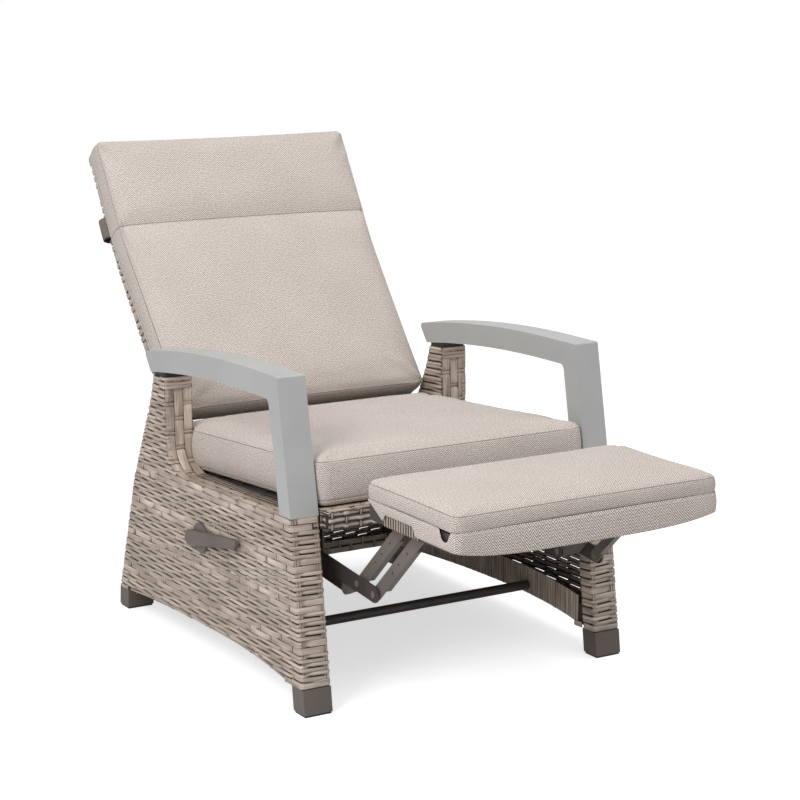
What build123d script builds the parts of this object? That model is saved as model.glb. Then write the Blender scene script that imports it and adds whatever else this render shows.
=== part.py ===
from build123d import *
from math import atan2, cos, degrees, pi, radians, sin, sqrt
import os

# A reclining garden armchair. Every size is in millimetres. Heights are above the floor, and depths
# are measured backwards from the front feet's front faces, until the planes below move them to the
# origin, which is on the floor in the middle of the reclined chair. The sitter faces -Y, so the
# sitter's right hand is at -X. Drawn as in use: back reclined, footrest out.

os.makedirs("parts", exist_ok=True)

# Chair as a whole. The seat's height and the elbow's depth place whatever keeps with them.
origin_depth = 366
panel_half = 370
panel_width = 64
panel_inner = panel_half - panel_width
panel_middle = panel_half - panel_width / 2
seat_front_height = 387
elbow_depth = 760
touch = 0.2
soft_gap = 0.3
pin_play = 0.05
overrun = 5
skin = 4.6
tube_wall = 2

# Side panels
leg_lean_share = 0.131
front_corner_drop = 13
front_corner_height = seat_front_height - front_corner_drop
side_top_drop = 33
side_top_height = seat_front_height - side_top_drop
post_step = 170
post_front_depth = elbow_depth - post_step
post_foot_step = 5
post_foot_depth = post_front_depth - post_foot_step
post_width = 56
post_rear_depth = post_front_depth + post_width
post_rise = 162
post_height = seat_front_height + post_rise
shoulder_step = 99
shoulder_depth = elbow_depth - shoulder_step
shoulder_rise = 115
shoulder_height = seat_front_height + shoulder_rise
elbow_drop = 85
elbow_height = seat_front_height - elbow_drop
arch_depth = 290
arch_height = 71
post_fillet = 65
shoulder_fillet = 60
elbow_fillet = 150
panel_corner = 3
panel_tube = 24

# Feet
foot_width = 60
foot_depth = 44
foot_wall = 2.4
foot_floor = 5
glide_height = 4
glide_inset = 2
front_foot_height = 52
rear_foot_height = 46
rear_foot_step = 45
rear_foot_front = elbow_depth + rear_foot_step
rear_foot_lean_share = -0.087

# Arms
arm_rise = 248
arm_height = seat_front_height + arm_rise
arm_thick = 47
arm_width = 60
arm_leg_depth = 44
arm_wall = 3
arm_lean_share = 0.188
arm_level_depth = 200
arm_rear_step = 72
arm_rear_depth = elbow_depth - arm_rear_step
arm_rear_fall = 41
arm_rear_height = arm_height - arm_rear_fall
arm_cut_step = 103
arm_cut_depth = elbow_depth - arm_cut_step
arm_cut_fall = 81
arm_cut_height = arm_height - arm_cut_fall
arm_nose_fillet = 8
arm_front_fillet = 4
arm_inner_fillet = 12
spigot_length = 70
cap_inset = 3

# Hinge of the back
hinge_step = 105
hinge_depth = elbow_depth - hinge_step
hinge_drop = 37
hinge_height = seat_front_height - hinge_drop
hinge_arm_width = 24
hinge_arm_length = 150
hinge_lobe = 14
hinge_boss = 11
hinge_plate_thick = 6
hinge_pin_radius = 6
hinge_plate_reach = 37
torque_radius = 11
torque_bore = 8

# Gas spring
gas_step = 292
gas_front_depth = elbow_depth - gas_step
gas_drop = 125
gas_front_height = seat_front_height - gas_drop
crank_radius = 80
crank_angle = 5
crank_plate_thick = 4
crank_half = 12
crank_lobe = 14
crank_pin_radius = 5
crank_play = 1.4
gas_radius = 11
gas_wall = 2
gas_rod_radius = 4
gas_start = 50
gas_cap = 6
gas_end_gap = 22
gas_eye_radius = 10
gas_eye_half = 9
piston_length = 10
rod_length = 140
head_half = 8
head_radius = 12
release_radius = 3
release_reach = 29
bracket_plate = 3
bracket_half = 12
bracket_lobe = 14

# Lever of the gas spring
lever_step = 43
lever_depth = gas_front_depth - lever_step
lever_drop = 10
lever_height = gas_front_height - lever_drop
lever_shaft_radius = 6
lever_boss_radius = 31
lever_boss_thick = 6
lever_sleeve_radius = 10
lever_sleeve_length = 20
lever_thick = 9
lever_rear_reach = 50
lever_front_reach = 178
lever_rear_radius = 16
lever_front_radius = 10
lever_rise = 9
cam_half = 4
cam_radius = 12
cam_height = 20
cam_width = 8
cam_setback = 6

# Seat
seat_front_depth = 48
seat_fall_share = 0.067
seat_rear_gap = 17
seat_length = hinge_depth - seat_rear_gap - seat_front_depth
seat_side_gap = 4
seat_cushion_half = panel_inner - seat_side_gap
seat_cushion_thick = 90
seat_crown = 10
webbing_thick = 3
webbing_width = 50
webbing_count = 6
seat_rail_width = 30
seat_rail_depth = 25
seat_rail_start = 15
seat_rail_past = 4
seat_rail_end = seat_length + seat_rail_past
seat_mid_rail = gas_front_depth - seat_front_depth
cross_rail_width = 25
channel_wall = 2.5
rail_overhang = 25

# Apron, stretcher and rear skirt
apron_front = 20
apron_width = 40
apron_gap = 1
apron_high = seat_front_height - apron_gap
apron_tall = 38
apron_low = apron_high - apron_tall
stretcher_depth = 248
stretcher_height = 94
stretcher_radius = 10
skirt_low = 50
skirt_gap = 2
skirt_high = elbow_height - skirt_gap
skirt_setback = 10
skirt_thick = 30
skirt_tube = 18

# Back: distances along the back are from its hinge
back_lean = 39.5
back_side_gap = 10
back_half = panel_inner - back_side_gap
back_thick = 35
back_start = 45
back_end = 780
bend_start = 430
bend_length = 170
bend_angle = 8.5
back_corner = 32
back_tube = 23
back_rails = (162, 360, 560)

# Back cushion, and the edges of every cushion
cushion_start = 85
cushion_seam = 554
cushion_end = 766
cushion_low_gap = 9
cushion_low_half = panel_inner - cushion_low_gap
cushion_flare = 2
cushion_high_half = panel_inner + cushion_flare
cushion_thick = 72
cushion_crown = 9
cushion_edge = 26
cushion_corner = 13
cushion_waist = 3
edge_shares = ((0, 1), (0.12, 0.52), (0.45, 0.17), (1, 0))
middle_slices = 3
seam_dip = 7
strap_place = 585
strap_width = 50
strap_thick = 2

# Footrest linkage: bar is the long lower link, riser the two struts that carry the footrest
bar_depth = 150
bar_drop = 124
bar_height = seat_front_height - bar_drop
riser_depth = -7
riser_drop = 139
riser_height = seat_front_height - riser_drop
front_riser_share = 1.38
rear_link_step = 58
rear_link_drop = 24
riser_length = 224
riser_lean = 43.4
plate_thick = 4
plate_gap = 2
mechanism_gap = 48
mechanism_half = panel_inner - mechanism_gap
bar_radius = 16
rear_link_radius = 13
riser_radius = 12.5
riser_flange = 10
riser_flange_wall = 2.5
flange_start = 30
flange_end = 175
rivet_radius = 4
rivet_head = 6.5
rivet_head_thick = 1.6
head_gap = 0.3
open_play = 0.3
mount_front = 140
mount_rear = 240
spacer_radius = 9
sight_hole_radius = 2.5
sight_hole_places = (80, 110, 150)

# Footrest
pad_rear = -88
pad_front = -388
pad_rise = 47
pad_low = seat_front_height + pad_rise
pad_thick = 26
pad_crown = 10
pad_corner = 5
pad_edge = 18
rest_slat_count = 4
rest_slat_width = 36
rest_slat_thick = 4
rest_rail_high = pad_low - rest_slat_thick
rest_rail_tall = 34
rest_rail_low = rest_rail_high - rest_rail_tall
rest_rail_width = 24
rest_rail_half = mechanism_half + rest_rail_width
rest_rear_inset = 7
rest_rail_rear = pad_rear - rest_rear_inset
rest_front_inset = 8
rest_rail_front = pad_front + rest_front_inset
pad_rear_overhang = 5
pad_rear_half = rest_rail_half + pad_rear_overhang
pad_front_overhang = 2
pad_front_half = rest_rail_half + pad_front_overhang
cover_wall = 2.5
cover_rise = 4
cover_low = rest_rail_low + cover_rise
cover_cut = 62
cover_cut_depth = pad_rear - cover_cut
cover_slot_gap = 3
cover_slot_rear = cover_cut_depth - cover_slot_gap
cover_slot_length = 104
cover_slot_front = cover_slot_rear - cover_slot_length
cover_slot_drop = 15
cover_slot_high = pad_low - cover_slot_drop
cover_notch_length = 57
cover_notch_rear = pad_front + cover_notch_length
cover_notch_drop = 20
cover_notch_low = pad_low - cover_notch_drop
bracket_flange = 4

# Fasteners
bolt_head_thick = 4

hands = (("right", -1), ("left", 1))
frame_width = panel_width - 2 * (skin + touch)
frame_inset = skin + touch

side = Plane(origin=(0, -origin_depth, 0), x_dir=(0, 1, 0), z_dir=(1, 0, 0))


def put_out(builder, label):
    """Name a finished piece and write it."""
    builder.part.label = label
    export_step(builder.part, f"parts/{label}.step")


def lower_x(sign, near, far):
    """Lower x of a slab that lies between two distances from the middle of the chair."""
    return min(sign * near, sign * far)


def disc_at(place, radius, mode=Mode.ADD):
    """A round face at a place of the sketch."""
    with Locations(place):
        Circle(radius, mode=mode)


def flat_bar(start, end, radius):
    """A flat bar between two pivots, with ends rounded about them."""
    run = Vector(*end) - Vector(*start)
    with Locations((Vector(*start) + Vector(*end)) / 2):
        SlotCenterToCenter(run.length, 2 * radius, rotation=degrees(atan2(run.Y, run.X)))


def front_edge(height):
    """Depth of the front leg's front edge."""
    return leg_lean_share * height


def top_edge(depth):
    """Height of the side panel's long top edge."""
    start = front_edge(front_corner_height)
    fall = (front_corner_height - side_top_height) / (post_foot_depth - start)
    return front_corner_height - fall * (depth - start)


def arm_front(height):
    """Depth of the grey leg's front edge, above the panel."""
    return front_edge(front_corner_height) + arm_lean_share * (height - front_corner_height)


def arm_underside(depth):
    """Height of the arm's underside, level at first and then on a long arc."""
    run = arm_cut_depth - arm_level_depth
    drop = arm_height - arm_thick - arm_cut_height
    radius = (run**2 + drop**2) / (2 * drop)
    past = max(depth - arm_level_depth, 0)
    return arm_height - arm_thick - radius + sqrt(radius**2 - past**2)


def rear_edge(height):
    """Depth of the rear leg's rear edge, below the elbow."""
    foot = rear_foot_front + rear_foot_lean_share * rear_foot_height + foot_depth
    slope = (foot - elbow_depth) / (elbow_height - rear_foot_height)
    return foot - slope * (height - rear_foot_height)


def leg_points(start, lean, inset, low, high):
    """Side view of a stretch of leg or foot, drawn in by an inset."""
    return (
        (start + lean * low + inset, low),
        (start + lean * low + foot_depth - inset, low),
        (start + lean * high + foot_depth - inset, high),
        (start + lean * high + inset, high),
    )


legs = (
    ("front", 0, leg_lean_share, front_foot_height),
    ("rear", rear_foot_front, rear_foot_lean_share, rear_foot_height),
)

# Side view of a whole side panel
front_foot_rear = front_edge(front_foot_height) + foot_depth
rear_foot_top = rear_foot_front + rear_foot_lean_share * rear_foot_height
with BuildSketch() as panel:
    with BuildLine():
        FilletPolyline(
            (front_edge(front_foot_height), front_foot_height),
            (front_edge(front_corner_height), front_corner_height),
            (post_foot_depth, side_top_height),
            (post_front_depth, post_height),
            (post_rear_depth, post_height),
            (shoulder_depth, shoulder_height),
            (elbow_depth, elbow_height),
            (rear_foot_top + foot_depth, rear_foot_height),
            (rear_foot_top, rear_foot_height),
            radius=[
                panel_corner,
                post_fillet,
                panel_corner,
                panel_corner,
                shoulder_fillet,
                elbow_fillet,
                panel_corner,
            ],
        )
        TangentArc((arch_depth, arch_height), (rear_foot_top, rear_foot_height), tangent=(1, 0))
        TangentArc((arch_depth, arch_height), (front_foot_rear, front_foot_height), tangent=(-1, 0))
        Line((front_foot_rear, front_foot_height), (front_edge(front_foot_height), front_foot_height))
    make_face()

# The open field inside a side frame, before its tubes are drawn in from it
with BuildSketch() as field:
    Polygon(
        (front_edge(arch_height), arch_height),
        (front_edge(front_corner_height), front_corner_height),
        (elbow_depth - (side_top_height - elbow_height) / 2, side_top_height),
        (elbow_depth, elbow_height),
        (rear_edge(arch_height), arch_height),
    )


def frame_side_view(wall):
    """Side view of the welded side frame, or of the bore of its tubes where wall isn't zero."""
    add(panel.sketch_local)
    offset(amount=-frame_inset - wall)
    offset(field.sketch_local, amount=-frame_inset - panel_tube + wall, mode=Mode.SUBTRACT)
    for name, start, lean, height in legs:
        reach = height + skin + overrun - touch - wall
        low = glide_height + foot_floor + touch
        if wall:
            low = glide_height
        Polygon(*leg_points(start, lean, foot_wall + touch + wall, low, reach))


for hand, sign in hands:
    panel_x = lower_x(sign, panel_inner, panel_half)

    # Feet: square sleeves that the legs stand in
    foot_x = sign * panel_middle - foot_width / 2
    for name, start, lean, height in legs:
        with BuildPart() as foot:
            with BuildSketch(side.offset(foot_x)):
                Polygon(*leg_points(start, lean, 0, glide_height, height))
            extrude(amount=foot_width)
            with BuildSketch(side.offset(foot_x + foot_wall)):
                low = glide_height + foot_floor
                Polygon(*leg_points(start, lean, foot_wall, low, height + overrun))
            extrude(amount=foot_width - 2 * foot_wall, mode=Mode.SUBTRACT)
        put_out(foot, f"{hand}_{name}_foot")

    # Welded tube frame inside the weave, with a spigot for the arm
    spigot_half = arm_width / 2 - arm_wall - touch
    spigot_low = front_corner_height - panel_tube
    spigot_high = front_corner_height + spigot_length
    spigot_inset = arm_wall + touch
    with BuildPart() as side_frame:
        with BuildSketch(side.offset(sign * panel_middle - frame_width / 2)):
            frame_side_view(0)
        extrude(amount=frame_width)
        with BuildSketch(side.offset(sign * panel_middle - spigot_half)):
            Polygon(
                (arm_front(spigot_low) + spigot_inset, spigot_low),
                (arm_front(spigot_low) + arm_leg_depth - spigot_inset, spigot_low),
                (arm_front(spigot_high) + arm_leg_depth - spigot_inset, spigot_high),
                (arm_front(spigot_high) + spigot_inset, spigot_high),
            )
        extrude(amount=2 * spigot_half)
        with BuildSketch(side.offset(sign * panel_middle - frame_width / 2 + tube_wall)):
            frame_side_view(tube_wall)
        extrude(amount=frame_width - 2 * tube_wall, mode=Mode.SUBTRACT)
    put_out(side_frame, f"{hand}_side_frame")

    # Weave: a skin on the outer face, and a wrap round each tube of the frame. Inside the tubes the
    # skin's back is open to the seat.
    window_x = lower_x(sign, panel_inner - overrun, panel_half - skin)
    with BuildPart() as side_weave:
        with BuildSketch(side.offset(panel_x)):
            add(panel.sketch_local)
        extrude(amount=panel_width)
        with BuildSketch(side.offset(panel_x + skin)):
            add(panel.sketch_local)
            offset(amount=-skin)
            offset(field.sketch_local, amount=-frame_inset - panel_tube - touch, mode=Mode.SUBTRACT)
        extrude(amount=panel_width - 2 * skin, mode=Mode.SUBTRACT)
        with BuildSketch(side.offset(window_x)):
            offset(field.sketch_local, amount=-frame_inset - panel_tube - touch - skin)
        extrude(amount=panel_width - skin + overrun, mode=Mode.SUBTRACT)
        with BuildSketch(side.offset(sign * panel_middle - frame_width / 2 - touch)):
            for name, start, lean, height in legs:
                reach = height + skin + overrun
                Polygon(*leg_points(start, lean, foot_wall, height - overrun, reach))
        extrude(amount=frame_width + 2 * touch, mode=Mode.SUBTRACT)
        with BuildSketch(side.offset(sign * panel_middle - spigot_half - touch)):
            Polygon(
                (arm_front(spigot_low) + arm_wall, spigot_low),
                (arm_front(spigot_low) + arm_leg_depth - arm_wall, spigot_low),
                (arm_front(spigot_high) + arm_leg_depth - arm_wall, spigot_high),
                (arm_front(spigot_high) + arm_wall, spigot_high),
            )
        extrude(amount=2 * spigot_half + 2 * touch, mode=Mode.SUBTRACT)
        if hand == "right":
            with BuildSketch(side.offset(panel_x)):
                disc_at((lever_depth, lever_height), lever_sleeve_radius + touch)
            extrude(amount=skin, mode=Mode.SUBTRACT)
    put_out(side_weave, f"{hand}_side_weave")

    # Arm and its front leg, one mitred hollow profile
    arm_x = sign * panel_middle - arm_width / 2
    leg_top = arm_height - arm_thick
    leg_foot_front = (arm_front(front_corner_height), front_corner_height)
    leg_foot_rear = (leg_foot_front[0] + arm_leg_depth, top_edge(leg_foot_front[0] + arm_leg_depth))
    leg_inner = (arm_front(leg_top) + arm_leg_depth, leg_top)
    with BuildPart() as arm:
        with BuildSketch(side.offset(arm_x)) as arm_view:
            with BuildLine():
                Polyline(
                    leg_foot_rear,
                    leg_foot_front,
                    (arm_front(arm_height), arm_height),
                    (arm_level_depth, arm_height),
                )
                TangentArc(
                    (arm_level_depth, arm_height), (arm_rear_depth, arm_rear_height), tangent=(1, 0)
                )
                Line((arm_rear_depth, arm_rear_height), (arm_cut_depth, arm_cut_height))
                TangentArc(
                    (arm_level_depth, leg_top), (arm_cut_depth, arm_cut_height), tangent=(1, 0)
                )
                Polyline((arm_level_depth, leg_top), leg_inner, leg_foot_rear)
            make_face()
            corners = arm_view.vertices()
            fillet(corners.sort_by_distance((arm_rear_depth, arm_rear_height))[0], arm_nose_fillet)
            fillet(
                arm_view.vertices().sort_by_distance((arm_front(arm_height), arm_height))[0],
                arm_front_fillet,
            )
            fillet(arm_view.vertices().sort_by_distance(leg_inner)[0], arm_inner_fillet)
        extrude(amount=arm_width)
        with BuildSketch(side.offset(arm_x + arm_wall)):
            add(arm_view.sketch_local)
            offset(amount=-arm_wall)
            Polygon(
                (arm_front(spigot_low) + arm_wall, spigot_low),
                (arm_front(spigot_low) + arm_leg_depth - arm_wall, spigot_low),
                (arm_front(spigot_high) + arm_leg_depth - arm_wall, spigot_high + touch),
                (arm_front(spigot_high) + arm_wall, spigot_high + touch),
            )
        extrude(amount=arm_width - 2 * arm_wall, mode=Mode.SUBTRACT)
    put_out(arm, f"{hand}_arm")

    # Dark cap between the rear post and the arm
    with BuildPart() as arm_cap:
        with BuildSketch(side.offset(arm_x + cap_inset)):
            cap_front = post_front_depth + cap_inset
            cap_rear = post_rear_depth - cap_inset
            Polygon(
                (cap_front, post_height),
                (cap_rear, post_height),
                (cap_rear, arm_underside(cap_rear)),
                (cap_front, arm_underside(cap_front)),
            )
        extrude(amount=arm_width - 2 * cap_inset)
    put_out(arm_cap, f"{hand}_arm_cap")

# Seat plane: local x across the chair, local y backwards along the sloping seat
seat_tilt = atan2(seat_fall_share, 1)
seat_plan = Plane(
    origin=(0, seat_front_depth - origin_depth, seat_front_height),
    x_dir=(1, 0, 0),
    z_dir=(0, sin(seat_tilt), cos(seat_tilt)),
)


def rail_top(depth):
    """Height of the seat rails' upper faces, under the webbing."""
    fall = seat_fall_share * (depth - seat_front_depth)
    return seat_front_height - fall - webbing_thick / cos(seat_tilt)


def rail_bottom(depth):
    """Height of the seat rails' lower edges."""
    return rail_top(depth) - seat_rail_depth / cos(seat_tilt)


def seat_rails_plan():
    """The seat frame from above: two side rails and three cross rails."""
    with Locations((0, (seat_rail_start + seat_rail_end) / 2)):
        Rectangle(2 * panel_inner, seat_rail_end - seat_rail_start)
    window_half = panel_inner - seat_rail_width
    rear_rail = seat_rail_end - rail_overhang
    stops = (
        (seat_rail_start + cross_rail_width, seat_mid_rail - cross_rail_width / 2),
        (seat_mid_rail + cross_rail_width / 2, rear_rail - cross_rail_width),
        (rear_rail, seat_rail_end),
    )
    for near, far in stops:
        with Locations((0, (near + far) / 2)):
            Rectangle(2 * window_half, far - near, mode=Mode.SUBTRACT)


# Seat frame of folded channel rails, open below
with BuildPart() as seat_frame:
    with BuildSketch(seat_plan.offset(-webbing_thick - seat_rail_depth)):
        seat_rails_plan()
    extrude(amount=seat_rail_depth)
    with BuildSketch(seat_plan.offset(-webbing_thick - seat_rail_depth)):
        seat_rails_plan()
        offset(amount=-channel_wall)
    extrude(amount=seat_rail_depth - channel_wall, mode=Mode.SUBTRACT)
put_out(seat_frame, "seat_frame")

# Elastic webbing across the seat frame
webbing_pitch = (seat_rail_end - seat_rail_start - webbing_width) / (webbing_count - 1)
webbing_half = panel_inner - seat_rail_width / 5
with BuildPart() as seat_webbing:
    with BuildSketch(seat_plan.offset(-webbing_thick)):
        for strap in range(webbing_count):
            with Locations((0, seat_rail_start + webbing_width / 2 + strap * webbing_pitch)):
                Rectangle(2 * webbing_half, webbing_width)
    extrude(amount=webbing_thick)
put_out(seat_webbing, "seat_webbing")


def soft_section(plane, half, low, high, crown, corner):
    """A slice across a cushion: flat below, crowned above, with rounded corners."""
    with BuildSketch(plane) as section:
        with BuildLine():
            Polyline((-half, high), (-half, low), (half, low), (half, high))
            ThreePointArc((half, high), (0, high + crown), (-half, high))
        make_face()
        fillet(section.vertices(), corner)
    return section.sketch


def soft_body(plane_at, length, half_at, thick, crown, corner, start_inset, end_inset, edge):
    """A cushion lofted through slices.

    Near each end the slices draw in along a quarter ellipse, by the insets given for the sides, the
    top and the bottom. The crown rises and the sides draw in towards the middle."""
    start = [(share * edge, draw, start_inset) for share, draw in edge_shares]
    finish = [(length - share * edge, draw, end_inset) for share, draw in reversed(edge_shares)]
    span = (length - 2 * edge) / (middle_slices + 1)
    middle = [(edge + count * span, 0, start_inset) for count in range(1, middle_slices + 1)]
    sections = []
    for place, draw, (sides, top, bottom) in (*start, *middle, *finish):
        swell = sin(pi * place / length)
        half = half_at(place) - draw * sides - cushion_waist * swell
        rise = crown * (1 + swell) / 2
        low = draw * bottom
        high = thick - draw * top
        sections.append(soft_section(plane_at(place), half, low, high, rise, corner))
    add(loft(sections, ruled=True, mode=Mode.PRIVATE))


def across(origin, up):
    """A plane square to the length of a cushion, with its local y along a direction."""
    return Plane(origin=origin, x_dir=(1, 0, 0), z_dir=Vector(1, 0, 0).cross(up))


def seat_slice(place):
    """Plane across the seat cushion at a distance from its front."""
    return across(seat_plan.from_local_coords(Vector(0, place, soft_gap)), seat_plan.z_dir)


full_inset = (cushion_corner, cushion_corner, cushion_corner)
with BuildPart() as seat_cushion:
    soft_body(
        seat_slice,
        seat_length,
        lambda place: seat_cushion_half,
        seat_cushion_thick,
        seat_crown,
        cushion_corner,
        full_inset,
        full_inset,
        cushion_edge,
    )
put_out(seat_cushion, "seat_cushion")

# Front rail and the weave wrapped round it
with BuildPart() as apron_weave:
    with BuildSketch(side.offset(-panel_inner)) as apron_view:
        with Locations((apron_front + apron_width / 2, (apron_low + apron_high) / 2)):
            Rectangle(apron_width, apron_high - apron_low)
            fillet(apron_view.vertices(), panel_corner)
            offset(amount=-skin, mode=Mode.SUBTRACT)
    extrude(amount=2 * panel_inner)
put_out(apron_weave, "apron_weave")

with BuildPart() as front_rail:
    with BuildSketch(side.offset(-panel_inner)):
        with Locations((apron_front + apron_width / 2, (apron_low + apron_high) / 2)):
            Rectangle(apron_width - 2 * frame_inset, apron_high - apron_low - 2 * frame_inset)
            offset(amount=-tube_wall, mode=Mode.SUBTRACT)
    extrude(amount=2 * panel_inner)
put_out(front_rail, "front_rail")

# Round stretcher between the side panels
with BuildPart() as stretcher:
    with BuildSketch(side.offset(-panel_inner)):
        disc_at((stretcher_depth, stretcher_height), stretcher_radius)
        disc_at((stretcher_depth, stretcher_height), stretcher_radius - tube_wall, Mode.SUBTRACT)
    extrude(amount=2 * panel_inner)
put_out(stretcher, "stretcher")


def skirt_points(inset, reach):
    """Section of the rear skirt, drawn in by an inset, between heights drawn in by a reach."""
    low = skirt_low + reach
    high = skirt_high - reach
    return (
        (rear_edge(low) - skirt_setback - skirt_thick + inset, low),
        (rear_edge(low) - skirt_setback - inset, low),
        (rear_edge(high) - skirt_setback - inset, high),
        (rear_edge(high) - skirt_setback - skirt_thick + inset, high),
    )


# Rear skirt: weave round a welded ring between the rear legs
with BuildPart() as rear_weave:
    with BuildSketch(side.offset(-panel_inner)):
        Polygon(*skirt_points(0, 0))
        Polygon(*skirt_points(skin, skin), mode=Mode.SUBTRACT)
    extrude(amount=2 * panel_inner)
put_out(rear_weave, "rear_weave")

with BuildPart() as rear_frame:
    with BuildSketch(side.offset(-panel_inner)):
        Polygon(*skirt_points(frame_inset, frame_inset))
    extrude(amount=2 * panel_inner)
    with BuildSketch(side.offset(-panel_inner + skirt_tube)):
        Polygon(*skirt_points(0, frame_inset + skirt_tube))
    extrude(amount=2 * panel_inner - 2 * skirt_tube, mode=Mode.SUBTRACT)
    with BuildSketch(side.offset(-panel_inner)):
        Polygon(*skirt_points(frame_inset + tube_wall, frame_inset + tube_wall))
        Polygon(*skirt_points(0, frame_inset + skirt_tube - tube_wall), mode=Mode.SUBTRACT)
    extrude(amount=2 * panel_inner, mode=Mode.SUBTRACT)
put_out(rear_frame, "rear_frame")

# Pads under the feet
with BuildPart() as floor_glides:
    with BuildSketch(Plane.XY):
        for hand, sign in hands:
            for name, start, lean, height in legs:
                with Locations((sign * panel_middle, start + foot_depth / 2 - origin_depth)):
                    Rectangle(foot_width - 2 * glide_inset, foot_depth - 2 * glide_inset)
    extrude(amount=glide_height)
put_out(floor_glides, "floor_glides")

# Back plane: local x up along the back from its hinge, local y towards the sitter
lean = radians(back_lean)
back = Plane(
    origin=(0, hinge_depth - origin_depth, hinge_height),
    x_dir=(0, sin(lean), cos(lean)),
    z_dir=(1, 0, 0),
)
back_face = Plane(origin=back.origin, x_dir=(1, 0, 0), z_dir=back.y_dir)
bend_radius = bend_length / radians(bend_angle)


def back_point(along, forward):
    """A point of the curved back, at a distance along its middle and in front of it."""
    if along <= bend_start:
        return (along, forward)
    turn = min(along - bend_start, bend_length) / bend_radius
    past = max(along - bend_start - bend_length, 0)
    return (
        bend_start + (bend_radius - forward) * sin(turn) + past * cos(turn),
        bend_radius - (bend_radius - forward) * cos(turn) + past * sin(turn),
    )


def back_band(low, high, start, end):
    """Side view of a layer of the curved back."""
    bend_middle = bend_start + bend_length / 2
    bend_end = bend_start + bend_length
    with BuildSketch() as band:
        with BuildLine():
            Line(back_point(start, low), back_point(bend_start, low))
            ThreePointArc(*(back_point(place, low) for place in (bend_start, bend_middle, bend_end)))
            Polyline(
                back_point(bend_end, low),
                back_point(end, low),
                back_point(end, high),
                back_point(bend_end, high),
            )
            ThreePointArc(*(back_point(place, high) for place in (bend_end, bend_middle, bend_start)))
            Polyline(back_point(bend_start, high), back_point(start, high), back_point(start, low))
        make_face()
    return band.sketch_local


def back_slab(low, high, half, start, end, corner):
    """A layer of the back across its width, with rounded upper corners."""
    top = max(back_point(end, low)[0], back_point(end, high)[0])
    with BuildPart() as slab:
        with BuildSketch(back.offset(-half)):
            add(back_band(low, high, start, end))
        extrude(amount=2 * half)
        with BuildSketch(back_face.offset(-half)):
            with Locations((0, (start + top - 2 * corner) / 2)):
                RectangleRounded(2 * half, top - start + 2 * corner, corner)
        extrude(amount=3 * half, mode=Mode.INTERSECT)
    return slab.part


def back_tubes(wall):
    """Tubes of the back's frame, or their bore where wall isn't zero."""
    half = back_half - frame_inset - wall
    layer = back_thick / 2 - frame_inset - wall
    end = back_end - frame_inset - wall
    start = back_start - (overrun if wall else 0)
    bay_half = back_half - frame_inset - back_tube + wall
    bay_edges = [start - overrun]
    for rail in back_rails:
        bay_edges += [rail - back_tube / 2 + wall, rail + back_tube / 2 - wall]
    bay_edges.append(back_point(back_end - frame_inset - back_tube + wall, 0)[0])
    with BuildPart() as tubes:
        add(back_slab(-layer, layer, half, start, end, back_corner - frame_inset - wall))
        with BuildSketch(back_face.offset(-half)):
            for near, far in zip(bay_edges[::2], bay_edges[1::2]):
                with Locations((0, (near + far) / 2)):
                    Rectangle(2 * bay_half, far - near)
        extrude(amount=3 * half, mode=Mode.SUBTRACT)
    return tubes.part


with BuildPart() as back_frame:
    add(back_tubes(0))
    add(back_tubes(tube_wall), mode=Mode.SUBTRACT)
put_out(back_frame, "back_frame")

with BuildPart() as back_weave:
    add(back_slab(-back_thick / 2, back_thick / 2, back_half, back_start, back_end, back_corner))
    add(
        back_slab(
            -back_thick / 2 + skin,
            back_thick / 2 - skin,
            back_half - skin,
            back_start - overrun,
            back_end - skin,
            back_corner - skin,
        ),
        mode=Mode.SUBTRACT,
    )
put_out(back_weave, "back_weave")


def back_slice(place):
    """Plane across the back cushion at a distance from the hinge."""
    near = Vector(*back_point(place, 0))
    front = Vector(*back_point(place, 1))
    level = back_point(place, back_thick / 2 + soft_gap)
    up = back.from_local_coords(front) - back.from_local_coords(near)
    return across(back.from_local_coords(Vector(*level)), up)


def back_cushion_half(place):
    share = (place - cushion_start) / (cushion_seam - cushion_start)
    return cushion_low_half + (cushion_high_half - cushion_low_half) * min(share, 1)


seam_inset = (2, seam_dip, 0)
with BuildPart() as back_cushion:
    for start, end, start_inset, end_inset in (
        (cushion_start, cushion_seam, full_inset, seam_inset),
        (cushion_seam, cushion_end, seam_inset, full_inset),
    ):
        soft_body(
            lambda place: back_slice(start + place),
            end - start,
            lambda place: back_cushion_half(start + place),
            cushion_thick,
            cushion_crown,
            cushion_corner,
            start_inset,
            end_inset,
            cushion_edge,
        )
put_out(back_cushion, "back_cushion")

# Fabric strap that holds the cushion to the back
strap_half = back_half + soft_gap
strap_rear = -back_thick / 2 - soft_gap
with BuildPart() as cushion_strap:
    with BuildSketch(back_slice(strap_place)):
        rear = strap_rear - back_thick / 2 - soft_gap
        with Locations((0, (rear - strap_thick) / 2)):
            Rectangle(2 * strap_half + 2 * strap_thick, strap_thick - rear)
        with Locations((0, rear / 2)):
            Rectangle(2 * strap_half, -rear, mode=Mode.SUBTRACT)
    extrude(amount=strap_width / 2, both=True)
put_out(cushion_strap, "cushion_strap")

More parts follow.
